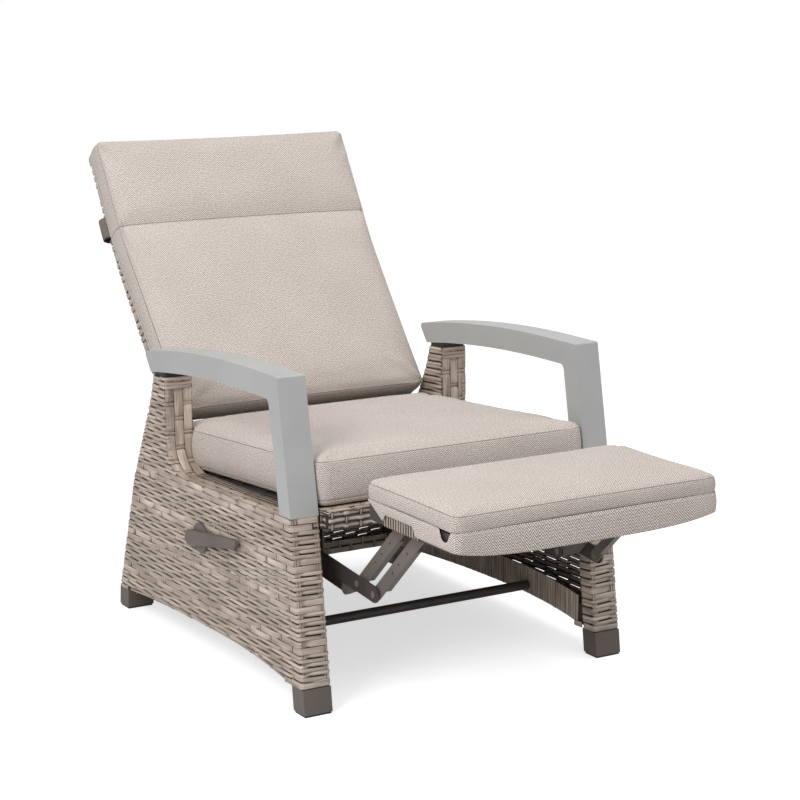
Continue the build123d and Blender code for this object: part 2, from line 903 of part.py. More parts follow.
# Hinge of the back
frame_half = back_half - frame_inset
arm_far = frame_half - back_tube
arm_near = arm_far - hinge_plate_thick
plate_far = panel_inner - seat_rail_width
plate_near = plate_far - hinge_plate_thick
hinge = (hinge_depth, hinge_height)
for hand, sign in hands:
    with BuildPart() as hinge_arm:
        with BuildSketch(back.offset(lower_x(sign, arm_near, arm_far))):
            disc_at((0, 0), hinge_lobe)
            with Locations((hinge_arm_length / 2, 0)):
                Rectangle(hinge_arm_length, hinge_arm_width)
        extrude(amount=hinge_plate_thick)
        with BuildSketch(back.offset(lower_x(sign, arm_far, plate_near - touch))):
            disc_at((0, 0), hinge_boss)
        extrude(amount=plate_near - touch - arm_far)
        with BuildSketch(back.offset(-panel_half)):
            disc_at((0, 0), hinge_pin_radius + pin_play)
        extrude(amount=2 * panel_half, mode=Mode.SUBTRACT)
    put_out(hinge_arm, f"{hand}_hinge_arm")

    with BuildPart() as hinge_plate:
        with BuildSketch(side.offset(lower_x(sign, plate_near, plate_far))):
            plate_front = hinge_depth - hinge_plate_reach
            Polygon(
                (plate_front, rail_bottom(plate_front)),
                (hinge_depth, hinge_height - hinge_lobe),
                hinge,
                (hinge_depth - hinge_lobe, rail_top(hinge_depth - hinge_lobe)),
                (plate_front, rail_top(plate_front)),
            )
            disc_at(hinge, hinge_lobe)
            disc_at(hinge, hinge_pin_radius + pin_play, Mode.SUBTRACT)
        extrude(amount=hinge_plate_thick)
    put_out(hinge_plate, f"{hand}_hinge_plate")

with BuildPart() as hinge_pins:
    for hand, sign in hands:
        with BuildSketch(side.offset(lower_x(sign, arm_near - hinge_plate_thick, plate_far))):
            disc_at(hinge, hinge_pin_radius)
        extrude(amount=plate_far - arm_near + hinge_plate_thick)
        with BuildSketch(side.offset(lower_x(sign, plate_far, plate_far + bolt_head_thick))):
            disc_at(hinge, hinge_pin_radius + bolt_head_thick)
        extrude(amount=bolt_head_thick)
put_out(hinge_pins, "hinge_pins")

# Torque tube between the hinge arms, with the crank that the gas spring pushes
crank_turn = radians(crank_angle)
crank_end = (
    hinge_depth + crank_radius * sin(crank_turn),
    hinge_height - crank_radius * cos(crank_turn),
)
with BuildPart() as back_crank:
    with BuildSketch(side.offset(-arm_near)):
        disc_at(hinge, torque_radius)
    extrude(amount=2 * arm_near)
    for hand, sign in hands:
        with BuildSketch(side.offset(lower_x(sign, crank_half, crank_half + crank_plate_thick))):
            flat_bar(hinge, crank_end, crank_lobe)
            disc_at(crank_end, crank_pin_radius + pin_play, Mode.SUBTRACT)
        extrude(amount=crank_plate_thick)
    with BuildSketch(side.offset(-arm_near)):
        disc_at(hinge, torque_bore)
    extrude(amount=2 * arm_near, mode=Mode.SUBTRACT)
put_out(back_crank, "back_crank")


crank_pin_half = crank_half + crank_plate_thick
with BuildPart() as crank_pin:
    with BuildSketch(side.offset(-crank_pin_half - bolt_head_thick)):
        disc_at(crank_end, crank_pin_radius)
    extrude(amount=2 * crank_pin_half + 2 * bolt_head_thick)
    for hand, sign in hands:
        outer = crank_pin_half + touch
        with BuildSketch(side.offset(lower_x(sign, outer, outer + bolt_head_thick))):
            disc_at(crank_end, crank_pin_radius + bolt_head_thick)
        extrude(amount=bolt_head_thick)
put_out(crank_pin, "crank_pin")

# Gas spring, drawn along its own axis from its front pivot to the crank
gas_front = (gas_front_depth, gas_front_height)
gas_run = Vector(*crank_end) - Vector(*gas_front)
gas = Plane(
    origin=side.from_local_coords(Vector(*gas_front)),
    x_dir=(0, gas_run.X, gas_run.Y),
    z_dir=(1, 0, 0),
)
gas_axis = Axis(gas.origin, gas.x_dir)
gas_end = gas_run.length - gas_end_gap
gas_bore = gas_radius - gas_wall
with BuildPart() as gas_cylinder:
    with BuildSketch(gas):
        Polygon(
            (gas_start, gas_rod_radius + pin_play),
            (gas_start, gas_radius),
            (gas_end, gas_radius),
            (gas_end, crank_pin_radius),
            (gas_run.length - crank_pin_radius - crank_play, crank_pin_radius),
            (gas_run.length - crank_pin_radius - crank_play, 0),
            (gas_end - gas_cap, 0),
            (gas_end - gas_cap, gas_bore),
            (gas_start + gas_cap, gas_bore),
            (gas_start + gas_cap, gas_rod_radius + pin_play),
        )
    revolve(axis=gas_axis)
    with BuildSketch(gas.offset(-gas_eye_half)):
        disc_at((gas_run.length, 0), gas_eye_radius)
    extrude(amount=2 * gas_eye_half)
    with BuildSketch(gas.offset(-gas_eye_half)):
        disc_at((gas_run.length, 0), crank_pin_radius + crank_play)
    extrude(amount=2 * gas_eye_half, mode=Mode.SUBTRACT)
put_out(gas_cylinder, "gas_cylinder")

with BuildPart() as gas_rod:
    with BuildSketch(gas):
        Polygon(
            (-release_reach, 0),
            (-release_reach, release_radius),
            (0, release_radius),
            (0, gas_rod_radius),
            (rod_length, gas_rod_radius),
            (rod_length, gas_bore - pin_play),
            (rod_length + piston_length, gas_bore - pin_play),
            (rod_length + piston_length, 0),
        )
    revolve(axis=gas_axis)
    with BuildSketch(gas.offset(-head_half)):
        disc_at((0, 0), head_radius)
    extrude(amount=2 * head_half)
    with BuildSketch(gas.offset(-head_half)):
        disc_at((0, 0), crank_pin_radius + pin_play)
    extrude(amount=2 * head_half, mode=Mode.SUBTRACT)
put_out(gas_rod, "gas_rod")

# Bracket under the middle cross rail, for the gas spring and the lever's shaft
lever = (lever_depth, lever_height)
rail_middle = seat_front_depth + seat_mid_rail
bracket_far = bracket_half + bracket_plate
with BuildPart() as gas_bracket:
    bracket_front = rail_middle - cross_rail_width
    bracket_rear = rail_middle + cross_rail_width
    for hand, sign in hands:
        with BuildSketch(side.offset(lower_x(sign, bracket_half, bracket_far))):
            Polygon(
                lever,
                gas_front,
                (bracket_rear, rail_bottom(bracket_rear)),
                (bracket_front, rail_bottom(bracket_front)),
            )
            flat_bar(lever, gas_front, bracket_lobe)
            disc_at(lever, lever_shaft_radius + pin_play, Mode.SUBTRACT)
            disc_at(gas_front, crank_pin_radius + pin_play, Mode.SUBTRACT)
        extrude(amount=bracket_plate)
    with BuildSketch(side.offset(-bracket_far)):
        Polygon(
            (bracket_front, rail_bottom(bracket_front)),
            (bracket_front, rail_bottom(bracket_front) - bracket_plate),
            (bracket_rear, rail_bottom(bracket_rear) - bracket_plate),
            (bracket_rear, rail_bottom(bracket_rear)),
        )
    extrude(amount=2 * bracket_far)
put_out(gas_bracket, "gas_bracket")

with BuildPart() as gas_pin:
    with BuildSketch(side.offset(-bracket_far)):
        disc_at(gas_front, crank_pin_radius)
    extrude(amount=2 * bracket_far)
    for hand, sign in hands:
        with BuildSketch(side.offset(lower_x(sign, bracket_far, bracket_far + bolt_head_thick))):
            disc_at(gas_front, crank_pin_radius + bolt_head_thick)
        extrude(amount=bolt_head_thick)
put_out(gas_pin, "gas_pin")

# Lever on the right panel, its shaft, and the cam that presses the gas spring's release
lever_near = panel_half + lever_boss_thick + touch
lever_far = lever_near + lever_thick
lever_run = radians(180 - lever_rise)
with BuildPart() as lever_boss:
    with BuildSketch(side.offset(-panel_half - lever_boss_thick)):
        disc_at(lever, lever_boss_radius)
        disc_at(lever, lever_shaft_radius + pin_play, Mode.SUBTRACT)
    extrude(amount=lever_boss_thick)
    with BuildSketch(side.offset(-panel_half)):
        disc_at(lever, lever_sleeve_radius)
        disc_at(lever, lever_shaft_radius + pin_play, Mode.SUBTRACT)
    extrude(amount=lever_sleeve_length)
    outer_rim = lever_boss.edges().filter_by(GeomType.CIRCLE).group_by(Axis.X)[0]
    chamfer(outer_rim.sort_by(SortBy.RADIUS)[-1], panel_corner / 2)
put_out(lever_boss, "lever_boss")

with BuildPart() as lever_handle:
    with BuildSketch(side.offset(-lever_far)) as handle_view:
        for reach, radius in (
            (lever_front_reach - lever_front_radius, lever_front_radius),
            (lever_rear_radius - lever_rear_reach, lever_rear_radius),
        ):
            place = (lever_depth + reach * cos(lever_run), lever_height + reach * sin(lever_run))
            disc_at(place, radius)
        make_hull()
    extrude(amount=lever_thick)
    fillet(lever_handle.edges().group_by(Axis.X)[0], panel_corner)
    with BuildSketch(side.offset(-lever_far + lever_thick / 3)):
        disc_at(lever, lever_shaft_radius + pin_play)
    extrude(amount=lever_thick, mode=Mode.SUBTRACT)
put_out(lever_handle, "lever_handle")

shaft_length = lever_far - lever_thick / 3 - touch + bracket_far
with BuildPart() as lever_shaft:
    with BuildSketch(side.offset(-lever_far + lever_thick / 3 + touch)):
        disc_at(lever, lever_shaft_radius)
    extrude(amount=shaft_length)
put_out(lever_shaft, "lever_shaft")

with BuildPart() as release_cam:
    with BuildSketch(side.offset(-cam_half)):
        disc_at(lever, cam_radius)
        with Locations((lever_depth + cam_setback, lever_height + cam_height / 2)):
            Rectangle(cam_width, cam_height)
        disc_at(lever, lever_shaft_radius + pin_play, Mode.SUBTRACT)
    extrude(amount=2 * cam_half)
put_out(release_cam, "release_cam")

# Footrest linkage, as it stands with the footrest out. Two parallelograms share the riser's foot.
bar_pivot = Vector(bar_depth, bar_height)
riser_pivot = Vector(riser_depth, riser_height)
front_pivot = bar_pivot + (riser_pivot - bar_pivot) * front_riser_share
link_step = Vector(rear_link_step, -rear_link_drop)
rear_link_pivot = bar_pivot + link_step
open_pivot = riser_pivot + link_step
riser_turn = radians(90 + riser_lean + (90 - 2 * riser_lean))
riser_way = Vector(cos(riser_turn), sin(riser_turn))
rest_pivot = riser_pivot + riser_way * riser_length
rest_front_pivot = front_pivot + riser_way * riser_length

bar_far = mechanism_half
bar_near = bar_far - plate_thick
riser_far = bar_near - plate_gap
riser_near = riser_far - plate_thick
rear_far = riser_near - plate_gap
rear_near = rear_far - plate_thick
hole_radius = rivet_radius + pin_play


def flat(point):
    return (point.X, point.Y)


def rivet(sign, place, near, far):
    """A headed rivet through layers of the mechanism."""
    for low, high, radius in (
        (near - head_gap - rivet_head_thick, near - head_gap, rivet_head),
        (near - head_gap, far + head_gap, rivet_radius),
        (far + head_gap, far + head_gap + rivet_head_thick, rivet_head),
    ):
        with Locations(side.offset(lower_x(sign, low, high))):
            with Locations((place.X, place.Y, (high - low) / 2)):
                Cylinder(radius, high - low)


for hand, sign in hands:
    with BuildPart() as main_link:
        with BuildSketch(side.offset(lower_x(sign, bar_near, bar_far))):
            flat_bar(bar_pivot, front_pivot, bar_radius)
            for place in (bar_pivot, riser_pivot, front_pivot):
                disc_at(flat(place), hole_radius, Mode.SUBTRACT)
        extrude(amount=plate_thick)
    put_out(main_link, f"{hand}_main_link")

    with BuildPart() as rear_link:
        with BuildSketch(side.offset(lower_x(sign, rear_near, rear_far))):
            flat_bar(rear_link_pivot, open_pivot, rear_link_radius)
            for place in (rear_link_pivot, open_pivot):
                disc_at(flat(place), hole_radius, Mode.SUBTRACT)
        extrude(amount=plate_thick)
    put_out(rear_link, f"{hand}_rear_link")

    for name, foot_end, top_end in (
        ("rear_riser", riser_pivot, rest_pivot),
        ("front_riser", front_pivot, rest_front_pivot),
    ):
        riser_plane = Plane(
            origin=side.from_local_coords(foot_end),
            x_dir=(0, riser_way.X, riser_way.Y),
            z_dir=(1, 0, 0),
        )
        with BuildPart() as riser:
            with BuildSketch(side.offset(lower_x(sign, riser_near, riser_far))):
                flat_bar(foot_end, top_end, riser_radius)
                if name == "rear_riser":
                    flat_bar(foot_end, open_pivot, rear_link_radius)
                    disc_at(flat(open_pivot), rivet_radius + open_play, Mode.SUBTRACT)
                for place in (foot_end, top_end):
                    disc_at(flat(place), hole_radius, Mode.SUBTRACT)
                for reach in sight_hole_places:
                    disc_at(flat(foot_end + riser_way * reach), sight_hole_radius, Mode.SUBTRACT)
            extrude(amount=plate_thick)
            with BuildSketch(
                riser_plane.offset(lower_x(sign, riser_near - riser_flange, riser_near))
            ):
                with Locations(
                    ((flange_start + flange_end) / 2, riser_radius - riser_flange_wall / 2)
                ):
                    Rectangle(flange_end - flange_start, riser_flange_wall)
            extrude(amount=riser_flange)
        put_out(riser, f"{hand}_{name}")

    # Mounting plate on the seat rail, stood off on two spacers
    plate_top = rail_top(mount_rear)
    spacer_height = (plate_top + rail_bottom(mount_front)) / 2
    with BuildPart() as mount_plate:
        with BuildSketch(side.offset(lower_x(sign, riser_near, riser_far))):
            flat_bar(bar_pivot, rear_link_pivot, bar_radius)
            Polygon(
                (bar_pivot.X - bar_radius, bar_pivot.Y),
                (rear_link_pivot.X + bar_radius, rear_link_pivot.Y),
                (mount_rear, plate_top),
                (mount_front, plate_top),
            )
            for place in (bar_pivot, rear_link_pivot):
                disc_at(flat(place), hole_radius, Mode.SUBTRACT)
        extrude(amount=plate_thick)
        for depth in (mount_front + 2 * spacer_radius, mount_rear - 2 * spacer_radius):
            with BuildSketch(side.offset(lower_x(sign, riser_far, plate_far))):
                disc_at((depth, spacer_height), spacer_radius)
            extrude(amount=plate_far - riser_far)
    put_out(mount_plate, f"{hand}_mount_plate")

    # Bracket under the footrest that the risers carry
    bracket_low = min(rest_pivot.Y, rest_front_pivot.Y)
    bracket_front = rest_front_pivot.X - riser_radius
    bracket_rear = rest_pivot.X + riser_radius
    rail_near = rest_rail_half - rest_rail_width
    with BuildPart() as rest_bracket:
        with BuildSketch(side.offset(lower_x(sign, rear_near, rear_far))):
            flat_bar(rest_front_pivot, rest_pivot, riser_radius)
            Polygon(
                (bracket_front, bracket_low),
                (bracket_rear, bracket_low),
                (bracket_rear, rest_rail_high),
                (bracket_front, rest_rail_high),
            )
            for place in (rest_pivot, rest_front_pivot):
                disc_at(flat(place), hole_radius, Mode.SUBTRACT)
        extrude(amount=plate_thick)
        with BuildSketch(side.offset(lower_x(sign, rear_near, rail_near))):
            Polygon(
                (bracket_front, rest_rail_high - bracket_flange),
                (bracket_rear, rest_rail_high - bracket_flange),
                (bracket_rear, rest_rail_high),
                (bracket_front, rest_rail_high),
            )
        extrude(amount=rail_near - rear_near)
    put_out(rest_bracket, f"{hand}_rest_bracket")

# Rivets, each group on the body whose holes they are fixed in
for label, places in (
    ("mount_rivets", ((bar_pivot, riser_near, bar_far), (rear_link_pivot, rear_near, riser_far))),
    ("main_link_rivets", ((riser_pivot, riser_near, bar_far), (front_pivot, riser_near, bar_far))),
    ("rear_link_rivets", ((open_pivot, rear_near, riser_far),)),
    ("rest_rivets", ((rest_pivot, rear_near, riser_far), (rest_front_pivot, rear_near, riser_far))),
):
    with BuildPart() as rivets:
        for hand, sign in hands:
            for place, near, far in places:
                rivet(sign, place, near, far)
    put_out(rivets, label)

# Footrest: frame, slats, pad and its cover pocket
rest_plan = Plane(origin=(0, -origin_depth, 0))
rest_middle = (rest_rail_rear + rest_rail_front) / 2
rest_run = rest_rail_rear - rest_rail_front


def rest_rails_plan(wall):
    with Locations((0, rest_middle)):
        Rectangle(2 * rest_rail_half - 2 * wall, rest_run - 2 * wall)
        Rectangle(
            2 * rest_rail_half - 2 * rest_rail_width + 2 * wall,
            rest_run - 2 * rest_rail_width + 2 * wall,
            mode=Mode.SUBTRACT,
        )


with BuildPart() as footrest_frame:
    with BuildSketch(rest_plan.offset(rest_rail_low)):
        rest_rails_plan(0)
    extrude(amount=rest_rail_high - rest_rail_low)
    with BuildSketch(rest_plan.offset(rest_rail_low + tube_wall)):
        rest_rails_plan(tube_wall)
    extrude(amount=rest_rail_high - rest_rail_low - 2 * tube_wall, mode=Mode.SUBTRACT)
    with BuildSketch(rest_plan.offset(rest_rail_low)):
        disc_at((0, rest_rail_front + rest_rail_width / 2), rivet_radius)
    extrude(amount=2 * tube_wall, mode=Mode.SUBTRACT)
put_out(footrest_frame, "footrest_frame")

slat_pitch = (rest_run - rest_slat_width) / (rest_slat_count - 1)
with BuildPart() as footrest_slats:
    with BuildSketch(rest_plan.offset(rest_rail_high)):
        for slat in range(rest_slat_count):
            with Locations((0, rest_rail_front + rest_slat_width / 2 + slat * slat_pitch)):
                Rectangle(2 * rest_rail_half - rest_rail_width / 2, rest_slat_width)
    extrude(amount=rest_slat_thick)
put_out(footrest_slats, "footrest_slats")


def pad_slice(place):
    return across(Vector(0, pad_rear - place - origin_depth, pad_low + soft_gap), Vector(0, 0, 1))


pad_length = pad_rear - pad_front
pad_inset = (2 * pad_corner, pad_corner, pad_corner)
with BuildPart() as footrest_pad:
    soft_body(
        pad_slice,
        pad_length,
        lambda place: pad_rear_half - (pad_rear_half - pad_front_half) * place / pad_length,
        pad_thick,
        pad_crown,
        pad_corner,
        pad_inset,
        pad_inset,
        pad_edge,
    )
put_out(footrest_pad, "footrest_pad")

cover_half = rest_rail_half + soft_gap + cover_wall
cover_front = rest_rail_front - soft_gap - cover_wall
with BuildPart() as footrest_cover:
    with BuildSketch(side.offset(-cover_half)):
        Polygon(
            (pad_rear, pad_low),
            (cover_cut_depth, cover_low),
            (cover_front, cover_low),
            (cover_front, pad_low),
        )
    extrude(amount=2 * cover_half)
    with BuildSketch(side.offset(-cover_half + cover_wall)):
        Polygon(
            (pad_rear + overrun, pad_low + overrun),
            (pad_rear + overrun, cover_low - overrun),
            (cover_front + cover_wall, cover_low - overrun),
            (cover_front + cover_wall, pad_low + overrun),
        )
    extrude(amount=2 * cover_half - 2 * cover_wall, mode=Mode.SUBTRACT)
    with BuildSketch(side.offset(-cover_half)):
        Polygon(
            (cover_slot_rear, cover_low - overrun),
            (cover_slot_front, cover_low - overrun),
            (cover_slot_front, cover_slot_high),
            (cover_slot_rear, cover_slot_high),
        )
        Polygon(
            (cover_notch_rear, pad_low + overrun),
            (cover_notch_rear, pad_low),
            ((cover_notch_rear + cover_front) / 2, cover_notch_low),
            (cover_front + cover_wall, pad_low),
            (cover_front + cover_wall, pad_low + overrun),
        )
    extrude(amount=2 * cover_half, mode=Mode.SUBTRACT)
put_out(footrest_cover, "footrest_cover")
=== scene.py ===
import re
from math import cos, pi, radians, sin, sqrt

import bpy
import numpy as np
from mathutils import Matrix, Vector


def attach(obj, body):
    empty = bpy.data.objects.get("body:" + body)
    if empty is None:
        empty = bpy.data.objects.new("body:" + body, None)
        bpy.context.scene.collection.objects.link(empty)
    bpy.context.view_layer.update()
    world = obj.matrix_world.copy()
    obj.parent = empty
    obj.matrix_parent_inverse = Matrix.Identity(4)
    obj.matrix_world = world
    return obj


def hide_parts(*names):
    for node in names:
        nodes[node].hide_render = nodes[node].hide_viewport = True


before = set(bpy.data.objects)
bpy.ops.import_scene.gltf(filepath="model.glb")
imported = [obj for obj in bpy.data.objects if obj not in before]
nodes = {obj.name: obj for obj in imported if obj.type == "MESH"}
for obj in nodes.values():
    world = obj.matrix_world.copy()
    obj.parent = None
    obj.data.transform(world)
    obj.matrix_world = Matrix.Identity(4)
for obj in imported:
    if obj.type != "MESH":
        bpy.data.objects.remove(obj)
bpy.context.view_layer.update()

# A reclining garden armchair. Sizes here are in millimetres, as in the part's source: depth is
# measured backwards from the front feet, height from the floor, and across from the middle, with
# the sitter's left positive. The functions that make pieces turn them into metres.
ORIGIN_DEPTH = 366
TINY = 1e-9
scene = bpy.context.scene
rng = np.random.default_rng(7)


def metres(points):
    """Places in the part's own frame."""
    return (points - np.array([0.0, ORIGIN_DEPTH, 0.0])) / 1000.0


def places(across, depth, height):
    """Points, from arrays or numbers."""
    return np.stack(np.broadcast_arrays(across, depth, height), -1)


def unit(vectors):
    length = np.linalg.norm(vectors, axis=-1, keepdims=True)
    return vectors / np.maximum(length, TINY)


# ---------- finishes


class Wire:
    """The output of a shader node, which can be used in sums."""

    def __init__(self, finish, socket):
        self.finish = finish
        self.socket = socket

    def reckon(self, operation, other=0):
        return self.finish.node("ShaderNodeMath", {"operation": operation}, {0: self, 1: other})

    def __add__(self, other):
        return self.reckon("ADD", other)

    def __sub__(self, other):
        return self.reckon("SUBTRACT", other)

    def __mul__(self, other):
        return self.reckon("MULTIPLY", other)


class Finish:
    """The shader nodes of a material, or of the world."""

    def __init__(self, owner):
        owner.use_nodes = True
        self.owner = owner
        self.tree = owner.node_tree
        self.tree.nodes.clear()

    def node(self, kind, settings=None, values=None, output=0):
        made = self.tree.nodes.new(kind)
        for key, value in (settings or {}).items():
            if key == "stops":
                ramp = made.color_ramp
                while len(ramp.elements) < len(value):
                    ramp.elements.new(0.5)
                for element, (place, tone) in zip(ramp.elements, value):
                    element.position = place
                    element.color = tone
            else:
                setattr(made, key, value)
        for key, value in (values or {}).items():
            if isinstance(value, Wire):
                self.tree.links.new(value.socket, made.inputs[key])
            else:
                made.inputs[key].default_value = value
        return Wire(self, made.outputs[output] if len(made.outputs) else None)

    def outputs(self, wire, *keys):
        """Outputs of the node that a wire comes from."""
        return [Wire(self, wire.socket.node.outputs[key]) for key in keys]

    def place(self):
        return self.node("ShaderNodeTexCoord", output="Object")

    def unwrapped(self, layer):
        return self.node("ShaderNodeUVMap", {"uv_map": layer})

    def scaled(self, vector, scale):
        return self.node("ShaderNodeVectorMath", {"operation": "MULTIPLY"}, {0: vector, 1: scale})

    def noise(self, vector, scale, detail=2.0, rough=0.5):
        values = {"Vector": vector, "Scale": scale, "Detail": detail, "Roughness": rough}
        return self.node("ShaderNodeTexNoise", None, values)

    def parts(self, vector):
        return self.outputs(self.node("ShaderNodeSeparateXYZ", None, {0: vector}), 0, 1, 2)

    def span(self, value, low, high, start=0.0, end=1.0):
        values = {"Value": value, "From Min": low, "From Max": high, "To Min": start, "To Max": end}
        return self.node("ShaderNodeMapRange", None, values)

    def ramp(self, value, *tones):
        """Colours in even steps, for values from 0 to 1."""
        stops = list(zip(np.linspace(0, 1, len(tones)).tolist(), tones))
        return self.node("ShaderNodeValToRGB", {"stops": stops}, {0: value})

    def blend(self, share, first, second):
        return self.node("ShaderNodeMix", {"data_type": "RGBA"}, {0: share, 6: first, 7: second}, 2)

    def bump(self, height, depth, strength):
        values = {"Height": height, "Distance": depth, "Strength": strength}
        return self.node("ShaderNodeBump", None, values)

    def surface(self, **values):
        shader = self.node("ShaderNodeBsdfPrincipled", None, values)
        self.node("ShaderNodeOutputMaterial", None, {0: shader})
        return self.owner


def material(name):
    return Finish(bpy.data.materials.new(name))


def colour(screen):
    """A colour given as it looks on a screen, from 0 to 255."""
    share = np.array(screen) / 255.0
    linear = np.where(share <= 0.04045, share / 12.92, ((share + 0.055) / 1.055) ** 2.4)
    return (*linear.tolist(), 1.0)


# Distance round a strand at each point of its section, the middle of its face, how far from there
# painted shade on its edges begins and is darkest, and the room that each strand has in its map;
# last, the tone of that painted shade, which stands in for shade in the creases between strands.
GIRTH = (0, 3.5, 6, 10, 14, 16.5, 20)
GIRTH_MIDDLE = 10.0
GIRTH_SHADE_SPAN = (3.4, 6.6)
GIRTH_ROOM = 31.0
CREASE_SHADE_TONE = (58, 48, 42)


def strand_finish(name, dark, middle, light, gloss):
    """Flat woven strands: streaks, tones that differ by strand, and painted shade at the edges."""
    made = material(name)
    strand = made.unwrapped("strand")
    streak = made.noise(made.scaled(strand, (14, 900, 1)), 1.0, 3.0, 0.6)
    tone = made.noise(made.scaled(strand, (9, 60, 1)), 1.0, 2.0)
    mixed = made.span(streak * 0.5 + tone * 0.5, 0.35, 0.65)
    shade = made.ramp(mixed, colour(dark), colour(middle), colour(light))
    _, girth, _ = made.parts(strand)
    within = (girth * (1000.0 / GIRTH_ROOM)).reckon("FRACT") * GIRTH_ROOM
    away = (within - GIRTH_MIDDLE).reckon("ABSOLUTE")
    # painted shade: each strand's edges darken towards the crease shade tone, as if shaded in the
    # creases between strands
    shade = made.blend(made.span(away, *GIRTH_SHADE_SPAN, 0.0, 0.95), shade, colour(CREASE_SHADE_TONE))
    height = streak * 0.7 + made.noise(made.scaled(strand, (60, 500, 1)), 1.0, 2.0) * 0.3
    return made.surface(**{
        "Base Color": shade,
        "Roughness": made.span(streak, 0.3, 0.7, gloss - 0.08, gloss + 0.12),
        "Normal": made.bump(height, 0.0004, 0.6),
    })


def painted_finish(name, base, worn, rough, grain=2600.0, depth=0.00006):
    """Powder-coated metal: a fine orange peel, with tones and roughness that drift a little."""
    made = material(name)
    place = made.place()
    peel = made.noise(place, grain, 2.0)
    drift = made.noise(place, 9.0, 3.0)
    return made.surface(**{
        "Base Color": made.blend(made.span(drift, 0.35, 0.75), colour(base), colour(worn)),
        "Roughness": made.span(drift + peel * 0.4, 0.4, 1.0, rough - 0.05, rough + 0.08),
        "Normal": made.bump(peel, depth, 0.5),
        "Specular IOR Level": 0.5,
    })


TWILL = 0.5
BAND_WIDTH, RIDGE_STEP, WARP_STEP = 7.0, 4.2, 2.1
SEAM_TONE = (92, 82, 75)


def cloth_finish(name, dark, middle, light):
    """Outdoor fabric: a fine twill of mixed yarns in narrow herringbone bands."""
    made = material(name)
    thread = made.unwrapped("cloth")
    across, along_cloth, _ = made.parts(thread)
    band = (across * 1000.0).reckon("PINGPONG", BAND_WIDTH)
    turn = (along_cloth * 1000.0 + band) * (2 * pi / RIDGE_STEP)
    ridge = turn.reckon("SINE") * 0.5 + 0.5
    warp = (across * (2000 * pi / WARP_STEP)).reckon("SINE") * 0.5 + 0.5
    melange = made.noise(made.scaled(thread, (190, 520, 1)), 1.0, 3.0, 0.7)
    slub = made.noise(made.scaled(thread, (520, 190, 1)), 1.0, 3.0, 0.7)
    drift = made.noise(thread, 7.0, 2.0)
    seam = made.node("ShaderNodeAttribute", {"attribute_name": "seam"}, None, "Fac")
    mixed = (ridge - 0.5) * TWILL + melange * 0.5 + slub * 0.5 + warp * 0.1 + drift * 0.08
    shade = made.ramp(made.span(mixed, 0.33, 0.85), colour(dark), colour(middle), colour(light))
    shade = made.blend(seam * 0.75, shade, colour(SEAM_TONE))
    height = ridge * 0.6 + warp * 0.25 + melange * 0.3
    return made.surface(**{
        "Base Color": shade,
        "Roughness": made.span(melange, 0.2, 0.8, 0.86, 0.98),
        "Normal": made.bump(height, 0.0004 * TWILL + 0.0001, 0.5),
        "Sheen Weight": 0.18,
        "Sheen Roughness": 0.45,
        "Specular IOR Level": 0.2,
    })


WICKER = strand_finish("woven_strand", (128, 113, 101), (181, 165, 151), (222, 206, 192), 0.4)
WICKER_STAKE = strand_finish("woven_stake", (124, 110, 98), (175, 159, 145), (212, 196, 182), 0.43)
ARM_GREY = painted_finish("arm_coat", (174, 175, 174), (168, 169, 168), 0.32)
INNER_STEEL = painted_finish("inner_frame_coat", (62, 55, 50), (52, 46, 42), 0.55)
SEAT_STEEL = painted_finish("seat_frame_coat", (70, 63, 58), (58, 52, 48), 0.5)
LINK_STEEL = painted_finish("linkage_coat", (72, 65, 60), (60, 54, 50), 0.42)
RISER_STEEL = painted_finish("riser_coat", (112, 104, 98), (98, 91, 86), 0.42)
FOOT_COAT = painted_finish("foot_coat", (104, 94, 88), (92, 83, 78), 0.45)
PLASTIC = painted_finish("moulded_plastic", (48, 45, 43), (40, 38, 36), 0.5, 1500.0)
FASTENER = painted_finish("plated_fastener", (120, 116, 112), (98, 94, 90), 0.32)
WEBBING = painted_finish("webbing_band", (38, 37, 36), (30, 29, 28), 0.8, 900.0, 0.0004)
CUSHION = cloth_finish("cushion_twill", (112, 99, 90), (190, 177, 169), (246, 238, 231))

# ---------- woven strands

DOMED_FROM = 2  # strands thicker than this are domed, and thinner ones are flat


def section(bottom, shoulder, top, height):
    """Half of a strand's section, mirrored: shares of its width and of its thickness."""
    half = [(-0.5, -0.5), (-0.5, bottom), (shoulder, top)]
    return np.array([*half, (0, height), *((-x, y) for x, y in reversed(half))])


FLAT = section(0.22, -0.46, 0.44, 0.52)
DOMED = section(-0.22, -0.34, 0.3, 0.5)


def quad_mesh(name, spots, faces, layer, wires):
    """A mesh of four-sided faces, with a map. Wires holds a place for each corner of each face."""
    mesh = bpy.data.meshes.new(name)
    mesh.vertices.add(len(spots))
    mesh.vertices.foreach_set("co", spots.ravel())
    mesh.loops.add(faces.size)
    mesh.loops.foreach_set("vertex_index", faces.ravel().astype(np.int32))
    mesh.polygons.add(len(faces))
    mesh.polygons.foreach_set("loop_start", np.arange(0, faces.size, 4, dtype=np.int32))
    mesh.update(calc_edges=True)
    mesh.uv_layers.new(name=layer).data.foreach_set("uv", wires.ravel())
    mesh.polygons.foreach_set("use_smooth", np.ones(len(faces), bool))
    mesh.update()
    return mesh


def settle(name, mesh, finish, body, slot, *replaced):
    """Puts a mesh in the scene as a piece of the chair."""
    made = bpy.data.objects.new(name, mesh)
    scene.collection.objects.link(made)
    mesh.materials.append(finish)
    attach(made, body)
    if replaced:
        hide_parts(*replaced)
    return made


